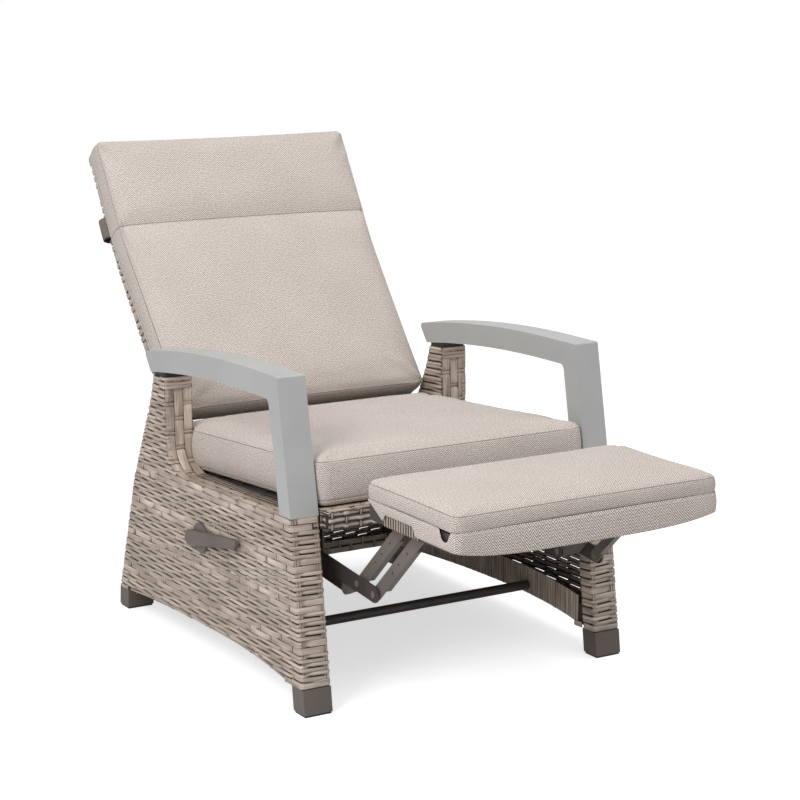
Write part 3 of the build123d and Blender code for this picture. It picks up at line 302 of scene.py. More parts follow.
class Weave:
    """Collects strands, and makes one mesh of them."""

    def __init__(self):
        self.points, self.faces, self.wires, self.count, self.strands = [], [], [], 0, 0

    def strand(self, path, across, lift, width, thick):
        """A strand along a path. Across is the way of its width, and lift moves it outwards."""
        path = np.asarray(path, float)
        total = len(path)
        if total < 2:
            return
        run = unit(np.gradient(path, axis=0))
        across = unit(np.broadcast_to(np.asarray(across, float), path.shape))
        across = unit(across - run * np.sum(across * run, axis=1, keepdims=True))
        out = np.cross(across, run)
        centre = path + out * np.asarray(lift, float).reshape(-1, 1)
        shape = DOMED if thick > DOMED_FROM else FLAT
        ring = len(shape)
        wide = shape[:, 0] * width
        tall = shape[:, 1] * thick
        points = (
            centre[:, None, :]
            + across[:, None, :] * wide[None, :, None]
            + out[:, None, :] * tall[None, :, None]
        )
        self.points.append(points.reshape(-1, 3))
        first = np.arange(total - 1)[:, None] * ring + self.count
        here = np.arange(ring)[None, :]
        there = (here + 1) % ring
        quads = [first + here, first + there, first + ring + there, first + ring + here]
        self.faces.append(np.stack(quads, -1).reshape(-1, 4))
        offset = rng.uniform(0, 40) * 100
        wires = np.stack(np.broadcast_arrays(
            (along(path)[:, None] + offset) / 1000.0,
            (np.array(GIRTH)[None, :] + self.strands * GIRTH_ROOM) / 1000.0,
        ), -1)
        self.wires.append(wires.reshape(-1, 2))
        self.count += total * ring
        self.strands += 1

    def piece(self, name, finish, body, slot, *replaced):
        faces = np.concatenate(self.faces)
        wires = np.concatenate(self.wires)[faces.ravel()]
        mesh = quad_mesh(name, metres(np.concatenate(self.points)), faces, "strand", wires)
        return settle(name, mesh, finish, body, slot, *replaced)


def rounded(points, radii, step=3.0):
    """An open line through points, with its corners rounded."""
    points = [np.asarray(point, float) for point in points]
    line = [points[0]]
    for before, corner, after, radius in zip(points, points[1:], points[2:], radii):
        back = before - corner
        ahead = after - corner
        back_way = back / np.linalg.norm(back)
        ahead_way = ahead / np.linalg.norm(ahead)
        half = np.arccos(np.clip(np.dot(back_way, ahead_way), -1, 1)) / 2
        if radius <= 0 or half > pi / 2 - 0.01:
            line.append(corner)
            continue
        room = [np.linalg.norm(back) * 0.49, np.linalg.norm(ahead) * 0.49]
        reach = min(radius / np.tan(half), *room)
        bend = reach * np.tan(half)
        middle = corner + unit(back_way + ahead_way) * bend / sin(half)
        start = corner + back_way * reach - middle
        end = corner + ahead_way * reach - middle
        turn = pi - 2 * half
        count = max(int(np.ceil(turn * bend / step)), 3)
        for share in np.linspace(0, 1, count + 1):
            spot = start * sin((1 - share) * turn) + end * sin(share * turn)
            line.append(middle + spot / sin(turn))
    line.append(points[-1])
    return np.array(line)


def hoop(half, near, far, radius, step=3.0):
    """A line round three sides: out along one, across, and back."""
    corners = [(-half, near), (-half, far), (half, far), (half, near)]
    return rounded(corners, [radius, radius], step)


def along(line):
    """Distances along a line of points."""
    return np.concatenate([[0], np.cumsum(np.linalg.norm(np.diff(line, axis=0), axis=1))])


def sampled(wanted, have, field):
    """What a field of numbers or points holds between the places where it is known."""
    field = np.asarray(field, float)
    if field.ndim == 1:
        return np.interp(wanted, have, field)
    return np.stack([np.interp(wanted, have, column) for column in field.T], -1)


def at_distances(line, wanted, *fields):
    """Points of a line at distances along it, and what other fields hold there."""
    have = along(line)
    return [sampled(wanted, have, field) for field in (line, *fields)]


def doubled(*fields):
    """Fields with one more value between each two."""
    count = len(fields[0])
    fine = np.linspace(0, count - 1, 2 * count - 1)
    return [sampled(fine, np.arange(count), field) for field in fields]


# Rows: how far they stand out over and under a stake, where between two stakes they bend, and
# their widths, thicknesses and slants.
OVER, UNDER = 1.5, -1.4
BENDS = (-0.5, -0.24, -0.12, 0.12, 0.24)
WIDE, NARROW = 12.8, 8.6
STRIP_THICK = 1.5
ROW_KINDS = {"wide": (WIDE, STRIP_THICK, 0.8), "narrow": (NARROW, 4.0, 1.7)}

# Stakes: width and thickness, and those of the ties across lengthwise strands and their step.
STAKE = (6.6, 1.3)
TIE = (6.2, 1.3)
TIE_STEP = 31.0

CORNER = 4.5  # radius of a strand's bend round a corner of its panel
DEEP = 3.0  # depth of the strands' middle under the face of their solid


def pass_lift(stake, row):
    """How far a strand stands out at a stake number: over one stake, under the next."""
    past = np.abs((stake - row) % 2 - 1)
    share = np.clip((past - 0.12) / 0.12, 0, 1)
    return UNDER + (OVER - UNDER) * share + 0.35 * np.clip((past - 0.24) / 0.76, 0, 1)


def stake_lift(number, row, play=0.75):
    """How far a stake stands out at a row: in under one, out over the next."""
    return -0.2 - play * np.where((number - row) % 2 == 0, 1.0, -1.0)


def woven_row(weave, line, across, stakes, row, shape):
    """A strand woven over and under the stakes. Stakes holds the stake number along the line.

    Shape holds its width, its thickness and its sway: where it passes over a stake, it slants by
    the sway to each side of its row."""
    width, thick, sway = shape
    low, high = stakes.min(), stakes.max()
    whole = np.arange(np.floor(low), np.ceil(high) + 1)
    wanted_stakes = (whole[:, None] + np.array(BENDS)[None, :]).ravel()
    wanted_stakes = wanted_stakes[(wanted_stakes > low) & (wanted_stakes < high)]
    have = along(line)
    order = np.argsort(stakes)
    wanted = np.interp(wanted_stakes, stakes[order], have[order])
    # corners need points of their own
    turn = np.linalg.norm(np.diff(unit(np.diff(line, axis=0)), axis=0), axis=1) > 0.05
    wanted = np.unique(np.concatenate([[have[0]], wanted, have[1:-1][turn], [have[-1]]]))
    wanted = wanted[np.concatenate([[True], np.diff(wanted) > 0.5])]
    path, way, stake = at_distances(line, wanted, across, stakes)
    phase = ((stake - row - 1) / 2) % 1
    slant = np.where(np.minimum(phase, 1 - phase) < 0.045, 0, (2 * phase - 1) * sway)
    weave.strand(path + way * slant[:, None], way, pass_lift(stake, row), width, thick)


def lengthwise(weave, ties, path, out, spread):
    """Strands that run side by side along an edge, tied down by cross strands.

    Spread gives each strand's middle, measured across from the path, and its width."""
    run = unit(np.gradient(path, axis=0))
    across = np.cross(run, out)
    distance = along(path)
    for row, (shift, width) in enumerate(spread):
        shape = (width, STRIP_THICK, 0)
        woven_row(weave, path + across * shift, across, distance / TIE_STEP, row, shape)
    edges = [shift - width / 2 for shift, width in spread]
    high = spread[-1][0] + spread[-1][1] / 2
    shifts = np.linspace(edges[0], high, 11)
    rows = np.clip(np.searchsorted(edges, shifts) - 1, 0, len(spread) - 1)
    for count in range(1, int(distance[-1] / TIE_STEP) + 1):
        if count * TIE_STEP > distance[-1] - 6:
            continue
        spot, side, forth = at_distances(path, np.array([count * TIE_STEP]), across, run)
        ties.strand(spot + side * shifts[:, None], -forth[0], stake_lift(rows, count, 0.8), *TIE)


def band_rows(low, high):
    """Rows of a weave from its top edge down: wide rows, then groups of narrow and wide ones."""
    rows = []
    level = high
    for kind in ["wide"] * 2 + (["narrow"] * 6 + ["wide"] * 2) * 12:
        tall = ROW_KINDS[kind][0]
        rows.append((level - tall / 2, kind))
        level -= tall
    return [(level, kind) for level, kind in rows if level > low]


# ---------- side panels

PANEL_OUT = 370
PANEL_IN = 306
OUTER = PANEL_OUT - DEEP
INNER = PANEL_IN + DEEP
TOP_DEPTH, TOP_HEIGHT = 49, 374  # top corner in front
POST_FOOT, POST_TOP = (585, 354), (590, 549)  # front edge of the rear post
REAR_FROM = 640  # rows that end behind this depth turn round the rear edge
ARCH_DEPTH, ARCH_HEIGHT = 290, 71
FRONT_FOOT, REAR_FOOT, REAR_CORNER = (51, 52), (801, 46), (845, 46)
SLOPE = 20 / 536
FRONT_LEAN = 0.131
REAR_LEAN = -85 / 256
STAKE_COUNT = 18
EDGE_STEP = 36
EDGE_STAKES = (7, 53)  # steps in from the outer face of the stakes on the front and rear edges
SHORT_END = 4  # how far a row that doesn't turn stays away from its end


def level_of(depth, height):
    """A row's number of millimetres up, measured along rows that fall with the top edge."""
    return height + SLOPE * (depth - TOP_DEPTH)


def height_of(level, depth):
    return level - SLOPE * (depth - TOP_DEPTH)


def front_edge(height):
    return FRONT_LEAN * height


def rear_guide(height):
    """Depth of the rear leg's rear edge, carried straight on upwards."""
    return REAR_CORNER[0] - REAR_LEAN * REAR_CORNER[1] + REAR_LEAN * height


def arch_line():
    """The arch under a side panel, from the rear foot to the front one."""
    line = []
    for end_depth, end_height in (REAR_FOOT, FRONT_FOOT):
        run = end_depth - ARCH_DEPTH
        drop = ARCH_HEIGHT - end_height
        radius = (run * run + drop * drop) / (2 * drop)
        depths = np.linspace(end_depth, ARCH_DEPTH, 60)
        heights = ARCH_HEIGHT - radius + np.sqrt(radius**2 - (depths - ARCH_DEPTH) ** 2)
        part = np.stack([depths, heights], -1)
        line.append(part if end_depth > ARCH_DEPTH else part[::-1])
    return np.concatenate([line[0], line[1][1:]])


arch = arch_line()
upper = rounded(
    [
        (6.8, 52), (TOP_DEPTH, TOP_HEIGHT), POST_FOOT, POST_TOP, (646, POST_TOP[1]), (661, 502),
        (760, 302), REAR_CORNER, REAR_FOOT,
    ],
    [3, 65, 3, 3, 60, 150, 3],
)
outline = np.concatenate([upper, arch])


def crossings(level):
    """Places where a row meets the panel's outline, from the front."""
    side = level_of(outline[:, 0], outline[:, 1]) - level
    there = np.nonzero((np.roll(side, 1) > 0) != (side > 0))[0]
    here = there - 1
    share = side[here] / (side[here] - side[there])
    found = outline[here] + (outline[there] - outline[here]) * share[:, None]
    return found[np.argsort(found[:, 0], kind="stable")]


def stake_place(number, height):
    """Depth of a stake on the outer face. The first and last keep a step from the edges."""
    front, rear = front_edge(height) + EDGE_STEP, rear_guide(height) - EDGE_STEP
    return front + (rear - front) * number / (STAKE_COUNT - 1)


def stake_number(depth, height):
    front, rear = stake_place(0, height), stake_place(STAKE_COUNT - 1, height)
    return (depth - front) / (rear - front) * (STAKE_COUNT - 1)


def end_way(level, last):
    """The way of the panel's front or rear edge near a row."""
    above, below = (373, level) if level < TOP_HEIGHT else (568, 568)
    high = crossings(min(level + 3, above))
    low = crossings(min(level, below) - 6)
    way = high[-1 if last else 0] - low[-1 if last else 0]
    return np.array([0.0, *(way / np.linalg.norm(way))])


# Distance past a corner of the outer face, and the stakes passed there.
FACE_TURNS = (0, 6, 52, 62, 98)
FACE_STAKES = (0, 0.14, 1.14, 1.4, 2.14)


def panel_row(weave, sign, level, kind, row, start, end, lower_start, lower_end):
    """A row between two places on the outline, turned round the front and rear edges.

    The lower ones are the places where the row's lower edge meets the outline."""
    if end[0] - start[0] < 30:
        return
    post = level > TOP_HEIGHT
    start_wraps = not post and start[0] < 60
    end_wraps = end[0] > REAR_FROM and end[1] > 47
    start_depth = start[0] + (DEEP if start_wraps or post else SHORT_END)
    end_depth = end[0] - (DEEP if end_wraps else SHORT_END)
    # a row that ends on the arch stops where its lower edge meets it
    if not post and not start_wraps:
        start_depth = max(start_depth, lower_start[0] + SHORT_END)
    if not post and not end_wraps:
        end_depth = min(end_depth, lower_end[0] - SHORT_END)
    if end_depth - start_depth < 12:
        return
    back_in = 34
    if start_wraps:
        corners = [(INNER, start_depth + back_in), (INNER, start_depth)]
    elif post:
        # the post's top rows go all round it
        wraps = level > 541
        start_depth = start_depth - 1.6 if wraps else start_depth
        corners = [(INNER if wraps else OUTER - 8, start_depth)]
    else:
        corners = [(OUTER - 6, start_depth)]
    corners += [(OUTER, start_depth), (OUTER, end_depth)]
    if end_wraps:
        reach = start_depth if post else end_depth - back_in
        corners += [(INNER, end_depth), (INNER, reach)]
    else:
        corners += [(OUTER - 6, end_depth)]
    line = rounded(corners, [CORNER] * (len(corners) - 2), 2.0)
    depths = line[:, 1]
    heights = height_of(level, depths)
    # the way across the strand leans with whichever edge it goes round
    to_front = np.clip(1 - (depths - start_depth) / 10, 0, 1)[:, None] if start_wraps else 0
    to_rear = np.clip(1 - (end_depth - depths) / 10, 0, 1)[:, None] if end_wraps else 0
    across = (
        np.array([0.0, 0.0, 1.0]) * (1 - to_front - to_rear)
        + end_way(level, False) * to_front
        + end_way(level, True) * to_rear
    )
    place = places(sign * line[:, 0], depths, heights)
    # stake numbers: along the outer face by depth, round the edges by distance
    number = stake_number(depths, heights)
    turned = along(line)
    on_outer = line[:, 0] > OUTER - 0.5
    if start_wraps:
        corner = int(np.argmax(on_outer))
        past = np.interp(turned[corner] - turned[:corner], FACE_TURNS, FACE_STAKES)
        number[:corner] = number[corner] - past
    if end_wraps:
        corner = len(line) - 1 - int(np.argmax(on_outer[::-1]))
        past = np.interp(turned[corner:] - turned[corner], FACE_TURNS, FACE_STAKES)
        number[corner:] = number[corner] + past
    if sign > 0:
        place, across, number = place[::-1], across[::-1], number[::-1]
    woven_row(weave, place, across, number, row, ROW_KINDS[kind])


def stake_spot(number, level):
    """Where a stake meets a row: its step in from the outer face, its depth and its height."""
    met = crossings(level)
    if number < 0:
        if len(met) and level < TOP_HEIGHT:
            return EDGE_STAKES[-1 - number], met[0][0] + DEEP, met[0][1]
    elif number >= STAKE_COUNT:
        if len(met) and met[-1][0] > REAR_FROM:
            return EDGE_STAKES[number - STAKE_COUNT], met[-1][0] - DEEP, met[-1][1]
    else:
        height = level
        for _ in range(4):
            depth = stake_place(number, height)
            height = height_of(level, depth)
        if any(a[0] + 4 < depth < b[0] - 4 for a, b in zip(met[::2], met[1::2])):
            return 0, depth, height
    return None


def panel_stakes(ties, sign, every):
    """Stakes on the outer face, and pairs of them on the front and rear edges."""
    for number in range(-2, STAKE_COUNT + 2):
        spots, lifts = [], []
        for level, _, row in sorted(every):
            spot = stake_spot(number, level)
            if spot:
                spots.append((sign * (OUTER - spot[0]), spot[1], spot[2]))
                lifts.append(stake_lift(number, row))
        if len(spots) < 3:
            continue
        spots = np.array(spots)
        reach = unit(spots[[0, -1]] - spots[[1, -2]]) * 5.5
        spots = np.concatenate([spots[:1] + reach[0], spots, spots[-1:] + reach[1]])
        path, lift = doubled(spots, [lifts[0], *lifts, lifts[-1]])
        if 0 <= number < STAKE_COUNT:
            ties.strand(path, (0, sign, 0), lift, *STAKE)
            continue
        way = np.array([1 if number < 0 else -1, 0, 0])
        for shift in (-2.9, 2.9):
            ties.strand(path + way * shift, way, lift, 4.8, STAKE[1])


def panel_trim(weave, ties, sign):
    """Strands on the panel's edges, and wraps round its arch, its legs and its top rail."""
    # lengthwise strands on the top edge and up the front of the post
    top_line = rounded([(52, TOP_HEIGHT), POST_FOOT, POST_TOP], [65], 4.0)
    run = unit(np.gradient(top_line, axis=0))
    outward = np.stack([-run[:, 1], run[:, 0]], -1)
    sunk = top_line - outward * DEEP
    path = places(sign * (PANEL_IN + PANEL_OUT) / 2, sunk[:, 0], sunk[:, 1])
    out = places(0.0, outward[:, 0], outward[:, 1])
    lengthwise(weave, ties, path, out, ((-20.6, 20), (0, 20), (20.6, 20)))
    # a strand along the arch covers the rows' ends
    arch_length = along(arch)[-1]
    edge = at_distances(arch, np.arange(12, arch_length - 12, 9.0))[0]
    border = places(sign * (OUTER + 1.2), edge[:, 0], edge[:, 1] + 2.6)
    weave.strand(border if sign < 0 else border[::-1], (0, 0, 1), 0, 5.4, 1.6)
    # wraps round the arched rail, inside and below
    for distance in np.arange(14, arch_length - 12, 9.2):
        depth, height = at_distances(arch, np.array([distance]))[0][0]
        corners = [
            (INNER, height + 62), (INNER, height + DEEP),
            (OUTER, height + DEEP), (OUTER, height + 12),
        ]
        line = rounded(corners, [CORNER] * 2, 2.5)
        path = places(sign * line[:, 0], depth, line[:, 1])
        lift = rng.uniform(-0.3, 0.3)
        weave.strand(path if sign > 0 else path[::-1], (0, 1, 0), lift, 8.4, STRIP_THICK)
    # a band round each leg, just above its foot
    band_level = 58
    met = crossings(band_level)
    for edge, other, forward in ((met[0], met[1], 1), (met[-1], met[-2], -1)):
        front = edge[0] + forward * DEEP
        corners = [
            (INNER, front + forward * 28), (INNER, front), (OUTER, front),
            (OUTER, other[0] - forward * 12),
        ]
        line = rounded(corners, [CORNER] * 2, 2.0)
        path = places(sign * line[:, 0], line[:, 1], height_of(band_level, line[:, 1]))
        if sign * forward > 0:
            path = path[::-1]
        weave.strand(path, (0, 0, 1), 1.8, 11.0, 1.8)
    # slanting wraps on the inner side of the top rail, beside the seat cushion
    for depth in np.arange(70, 520, 11.5):
        top = height_of(TOP_HEIGHT, depth) - DEEP
        corners = [(INNER + 25, top + 2.2), (INNER - 1.2, top + 2.2), (INNER - 1.2, top - 30)]
        line = rounded(corners, [5.5], 2.0)
        path = places(sign * line[:, 0], depth + along(line) * 0.35, line[:, 1])
        weave.strand(path[::-1] if sign > 0 else path, (0, 1, 0), 0, 8.6, 2.4)


def side_panel(hand, sign):
    weave, ties = Weave(), Weave()
    post_rows = [(TOP_HEIGHT + NARROW * (count + 0.5), "narrow") for count in range(23)]
    every = [(level, kind, row) for row, (level, kind) in enumerate(band_rows(57, TOP_HEIGHT))]
    every += [(level, kind, -1 - row) for row, (level, kind) in enumerate(post_rows)]
    for level, kind, row in every:
        met = crossings(level)
        lower = crossings(level - (6.2 if kind == "wide" else 4))
        if len(lower) != len(met):
            lower = met
        for ends in zip(met[::2], met[1::2], lower[::2], lower[1::2]):
            panel_row(weave, sign, level, kind, row, *ends)
    panel_stakes(ties, sign, every)
    panel_trim(weave, ties, sign)
    weave.piece(f"{hand}_panel_rows", WICKER, "base", "wicker", f"{hand}_side_weave")
    ties.piece(f"{hand}_panel_stakes", WICKER_STAKE, "base", "wicker")


side_panel("right", -1)
side_panel("left", 1)

# ---------- back, rear skirt and apron

BACK_LEAN = radians(39.5)
BEND_START, BEND_LENGTH, BEND_ANGLE = 430, 170, radians(8.5)
BACK_HALF, BACK_LOW, BACK_HIGH, BACK_FACE = 296, 45, 780, 17.5
HINGE_DEPTH, HINGE_HEIGHT = 655, 350
BACK_STAKES = 17


def back_place(across, up, forward):
    """Places on the curved back: distance up from its hinge, and in front of its middle."""
    across, up, forward = np.broadcast_arrays(np.asarray(across, float), up, forward)
    radius = BEND_LENGTH / BEND_ANGLE
    turn = np.clip((up - BEND_START) / radius, 0, BEND_ANGLE)
    past = np.maximum(up - BEND_START - BEND_LENGTH, 0)
    x = np.minimum(up, BEND_START) + (radius - forward) * np.sin(turn) + past * np.cos(turn)
    y = radius - (radius - forward) * np.cos(turn) + past * np.sin(turn)
    depth = HINGE_DEPTH + x * sin(BACK_LEAN) - y * cos(BACK_LEAN)
    height = HINGE_HEIGHT + x * cos(BACK_LEAN) + y * sin(BACK_LEAN)
    return places(across, depth, height)


def back_weave():
    weave, ties = Weave(), Weave()
    half = BACK_HALF - DEEP
    face = BACK_FACE - DEEP
    pitch = 2 * BACK_HALF / BACK_STAKES
    centre_stake = (BACK_STAKES - 1) // 2
    rows = band_rows(BACK_LOW + 2, BACK_HIGH - 16)
    rows = [(BACK_LOW + BACK_HIGH - 16 - level, kind) for level, kind in rows][::-1]
    for row, (up, kind) in enumerate(rows):
        # the rows get shorter with the round corners at the top
        bow = max(up - (BACK_HIGH - 32), 0)
        side = half - 32 + sqrt(32 * 32 - min(bow, 31) ** 2)
        reach = 28 if bow == 0 else 4
        corners = [
            (-side + reach, face), (-side, face), (-side, -face),
            (side, -face), (side, face), (side - reach, face),
        ]
        line = rounded(corners, [CORNER] * 4, 2.0)
        distance = along(line)
        here = back_place(line[:, 0], up, line[:, 1])
        there = back_place(line[:, 0], up + 2, line[:, 1])
        number = (distance - distance[-1] / 2) / pitch + centre_stake
        woven_row(weave, here, there - here, number, row, ROW_KINDS[kind])
    levels = np.array([up for up, _ in rows])
    for number in range(-1, BACK_STAKES + 1):
        x = (number - centre_stake) * pitch
        keep = levels < (BACK_HIGH - 34 if abs(x) > BACK_HALF - 40 else BACK_HIGH)
        up, lift = doubled(levels[keep], stake_lift(number, np.arange(keep.sum())))
        if 0 <= number < BACK_STAKES:
            ties.strand(back_place(x, up, -face), (-1, 0, 0), lift, *STAKE)
        else:
            side = half if number > 0 else -half
            path = back_place(side, up, 0)
            toward = back_place(side, up, 1) - path
            ties.strand(path, -toward if number > 0 else toward, lift, *STAKE)
    edge = hoop(half, BACK_HIGH - 30, BACK_HIGH - DEEP, 29)
    path = back_place(edge[:, 0], edge[:, 1], 0)
    away = unit(np.stack([np.gradient(edge[:, 1]), -np.gradient(edge[:, 0])], -1))
    out = back_place(edge[:, 0] - away[:, 0], edge[:, 1] - away[:, 1], 0) - path
    lengthwise(weave, ties, path, unit(out), ((-9, 16), (9, 16)))
    # a band inside the edge, on the front face and on the rear one
    inset = hoop(half - 11, BACK_HIGH - 44, BACK_HIGH - 11, 20)
    for side in (face, -face):
        path = back_place(inset[:, 0], inset[:, 1], side)
        out = back_place(inset[:, 0], inset[:, 1], side * 1.1) - path
        if side > 0:
            path, out = path[::-1], out[::-1]
        lengthwise(weave, ties, path, unit(out), ((0, 15),))
    x = np.linspace(-half, half, 30)
    path = back_place(x, BACK_LOW + DEEP, 0)
    out = back_place(x, BACK_LOW + DEEP - 1, 0) - path
    lengthwise(weave, ties, path, unit(out), ((-9, 16), (9, 16)))
    weave.piece("back_rows", WICKER, "back", "wicker", "back_weave")
    ties.piece("back_stakes", WICKER_STAKE, "back", "wicker")


def rear_skirt():
    weave, ties = Weave(), Weave()
    rows = band_rows(54, 296)
    half, count = 303, 18
    face = 10 + DEEP
    pitch = 2 * half / count
    x = np.linspace(-half, half, 24)
    for row, (height, kind) in enumerate(rows):
        line = places(x, rear_guide(height) - face, height)
        number = (x + half) / pitch - 0.5
        up = places(0 * x, REAR_LEAN, 1.0)
        woven_row(weave, line, up, number, row, ROW_KINDS[kind])
    levels = np.array([height for height, _ in rows])
    for number in range(count):
        path = places((number + 0.5) * pitch - half, rear_guide(levels) - face, levels)
        ties.strand(path, (1, 0, 0), stake_lift(number, np.arange(len(levels))), *STAKE)
    for height, way in ((300 - DEEP, 1.0), (50 + DEEP, -1.0)):
        path = places(x, rear_guide(height) - 25, height)
        lengthwise(weave, ties, path, places(0 * x, 0, way), ((-7.5, 14), (7.5, 14)))
        sunk = height - 14 * way
        path = places(x, rear_guide(sunk) - 40 + DEEP, sunk)
        lengthwise(weave, ties, path, places(0 * x, -1.0, 0), ((-8, 13), (8, 13)))
    weave.piece("skirt_rows", WICKER, "base", "wicker", "rear_weave")
    ties.piece("skirt_stakes", WICKER_STAKE, "base", "wicker")


def apron():
    weave, ties = Weave(), Weave()
    # a loop in plan, with its ends behind
    front, rear, half = 23, 57, 303
    corners = [(0, rear), (-half, rear), (-half, front), (half, front), (half, rear), (0.1, rear)]
    plan = rounded(corners, [5] * 4, 2.0)[::-1]
    count = int(along(plan)[-1] / 14)
    spaced = np.unique(np.concatenate([along(plan), np.linspace(0, along(plan)[-1], count)]))
    plan = at_distances(plan, spaced[np.concatenate([[True], np.diff(spaced) > 0.4])])[0]
    path = places(plan[:, 0], plan[:, 1], 367.0)
    way = unit(np.gradient(path, axis=0))
    out = places(way[:, 1], -way[:, 0], way[:, 2])
    lengthwise(weave, ties, path, out, ((-12.4, 12.2), (0, 12.2), (12.4, 12.2)))
    x = np.linspace(-305, 305, 44)
    for height, up in ((386 - DEEP, 1.0), (348 + DEEP, -1.0)):
        path = places(x, (front + rear) / 2, height)
        lengthwise(weave, ties, path, places(0 * x, 0, up), ((-9.6, 18.6), (9.6, 18.6)))
    weave.piece("apron_rows", WICKER, "base", "wicker", "apron_weave")
    ties.piece("apron_ties", WICKER_STAKE, "base", "wicker")


back_weave()
rear_skirt()
apron()

# ---------- cushions

SEAM_DEEP = 1.5
SEAM_BULGE = 2.4
WAIST = 2.5
PUCKER = 0.35
CLEAR = 0.9  # lines of a lattice keep this far apart


def lattice(low, high, rims, seams, pitch):
    """Lines between two ends, close together near the rims and near each seam."""
    lines = {low, high}
    for step in (2.2, 5.2, 9.5, 15, 21):
        lines |= {low + min(step * rims[0], 21), high - min(step * rims[1], 21)}
    for place in seams:
        lines = {line for line in lines if abs(line - place) > 3 or line in (low, high)}
        lines |= {place - 4.5, place - 1.5, place, place + 1.5, place + 4.5}
    found = sorted(line for line in lines if line == high or high - line > CLEAR)
    filled = [found[0]]
    for line in found[1:]:
        if line - filled[-1] < CLEAR:
            continue
        count = max(int(round((line - filled[-1]) / pitch)), 1)
        filled += list(np.linspace(filled[-1], line, count + 1)[1:])
    return np.array(filled)


def box_shell(xs, ys, zs):
    """The outside of a lattice of boxes: its points, and its faces with their sides."""
    numbers, points, faces, flats = {}, [], [], []

    def corner(i, j, k):
        if (i, j, k) not in numbers:
            numbers[i, j, k] = len(points)
            points.append((xs[i], ys[j], zs[k]))
        return numbers[i, j, k]

    def cover(firsts, seconds, spot, side):
        for i in range(firsts - 1):
            for j in range(seconds - 1):
                ring = ((i, j), (i + 1, j), (i + 1, j + 1), (i, j + 1))
                faces.append([corner(*spot(*place)) for place in ring])
                flats.append(side)

    many = (len(xs), len(ys), len(zs))
    cover(many[1], many[0], lambda j, i: (i, j, 0), "z")
    cover(many[0], many[1], lambda i, j: (i, j, many[2] - 1), "z")
    cover(many[0], many[2], lambda i, k: (i, 0, k), "y")
    cover(many[2], many[0], lambda k, i: (i, many[1] - 1, k), "y")
    cover(many[2], many[1], lambda k, j: (0, j, k), "x")
    cover(many[1], many[2], lambda j, k: (many[0] - 1, j, k), "x")
    return np.array(points, float), np.array(faces), flats


FILLING = {
    "quality": 4,
    "mass": 0.3,
    "tension_stiffness": 18,
    "compression_stiffness": 18,
    "shear_stiffness": 8,
    "bending_stiffness": 0.8,
    "use_pressure": True,
    "uniform_pressure_force": 2.5,
    "vertex_group_mass": "seams",
}


def swell(made, pinned, cap):
    """Fills a cushion with pressure, holding its seams, and caps how far a point moves."""
    group = made.vertex_groups.new(name="seams")
    group.add([int(index) for index in np.nonzero(pinned)[0]], 1.0, "REPLACE")
    start = np.empty(len(made.data.vertices) * 3)
    made.data.vertices.foreach_get("co", start)
    cloth = made.modifiers.new("filling", "CLOTH")
    for key, value in FILLING.items():
        setattr(cloth.settings, key, value)
    cloth.settings.effector_weights.gravity = 0
    first, last = 1, 20
    cloth.point_cache.frame_start = first
    cloth.point_cache.frame_end = last
    for step in range(first, last + 1):
        scene.frame_set(step)
    ready = made.evaluated_get(bpy.context.evaluated_depsgraph_get())
    end = np.empty_like(start)
    ready.data.vertices.foreach_get("co", end)
    made.modifiers.remove(cloth)
    made.vertex_groups.remove(group)
    scene.frame_set(first)
    moved = (end - start).reshape(-1, 3)
    length = np.linalg.norm(moved, axis=1, keepdims=True)
    moved = moved * (cap * np.tanh(length / cap) / np.maximum(length, TINY))
    made.data.vertices.foreach_set("co", (start.reshape(-1, 3) + moved).ravel())
    made.data.update()


def turned_edge(distance, radius):
    """Inset and drop of a point near a rounded edge. Distance is negative down the side."""
    angle = pi / 4 * (1 + np.clip(distance / radius, -1, 1))
    flat = np.maximum(distance - radius, 0)
    return radius * (1 - np.cos(angle)) + flat, radius * (1 - np.sin(angle))


def cloth_mesh(name, spots, faces, wires, seam):
    """A mesh with its map in the cloth and its seams marked."""
    mesh = quad_mesh(name, spots, faces, "cloth", wires)
    mesh.attributes.new("seam", "FLOAT", "POINT").data.foreach_set("value", seam)
    return mesh


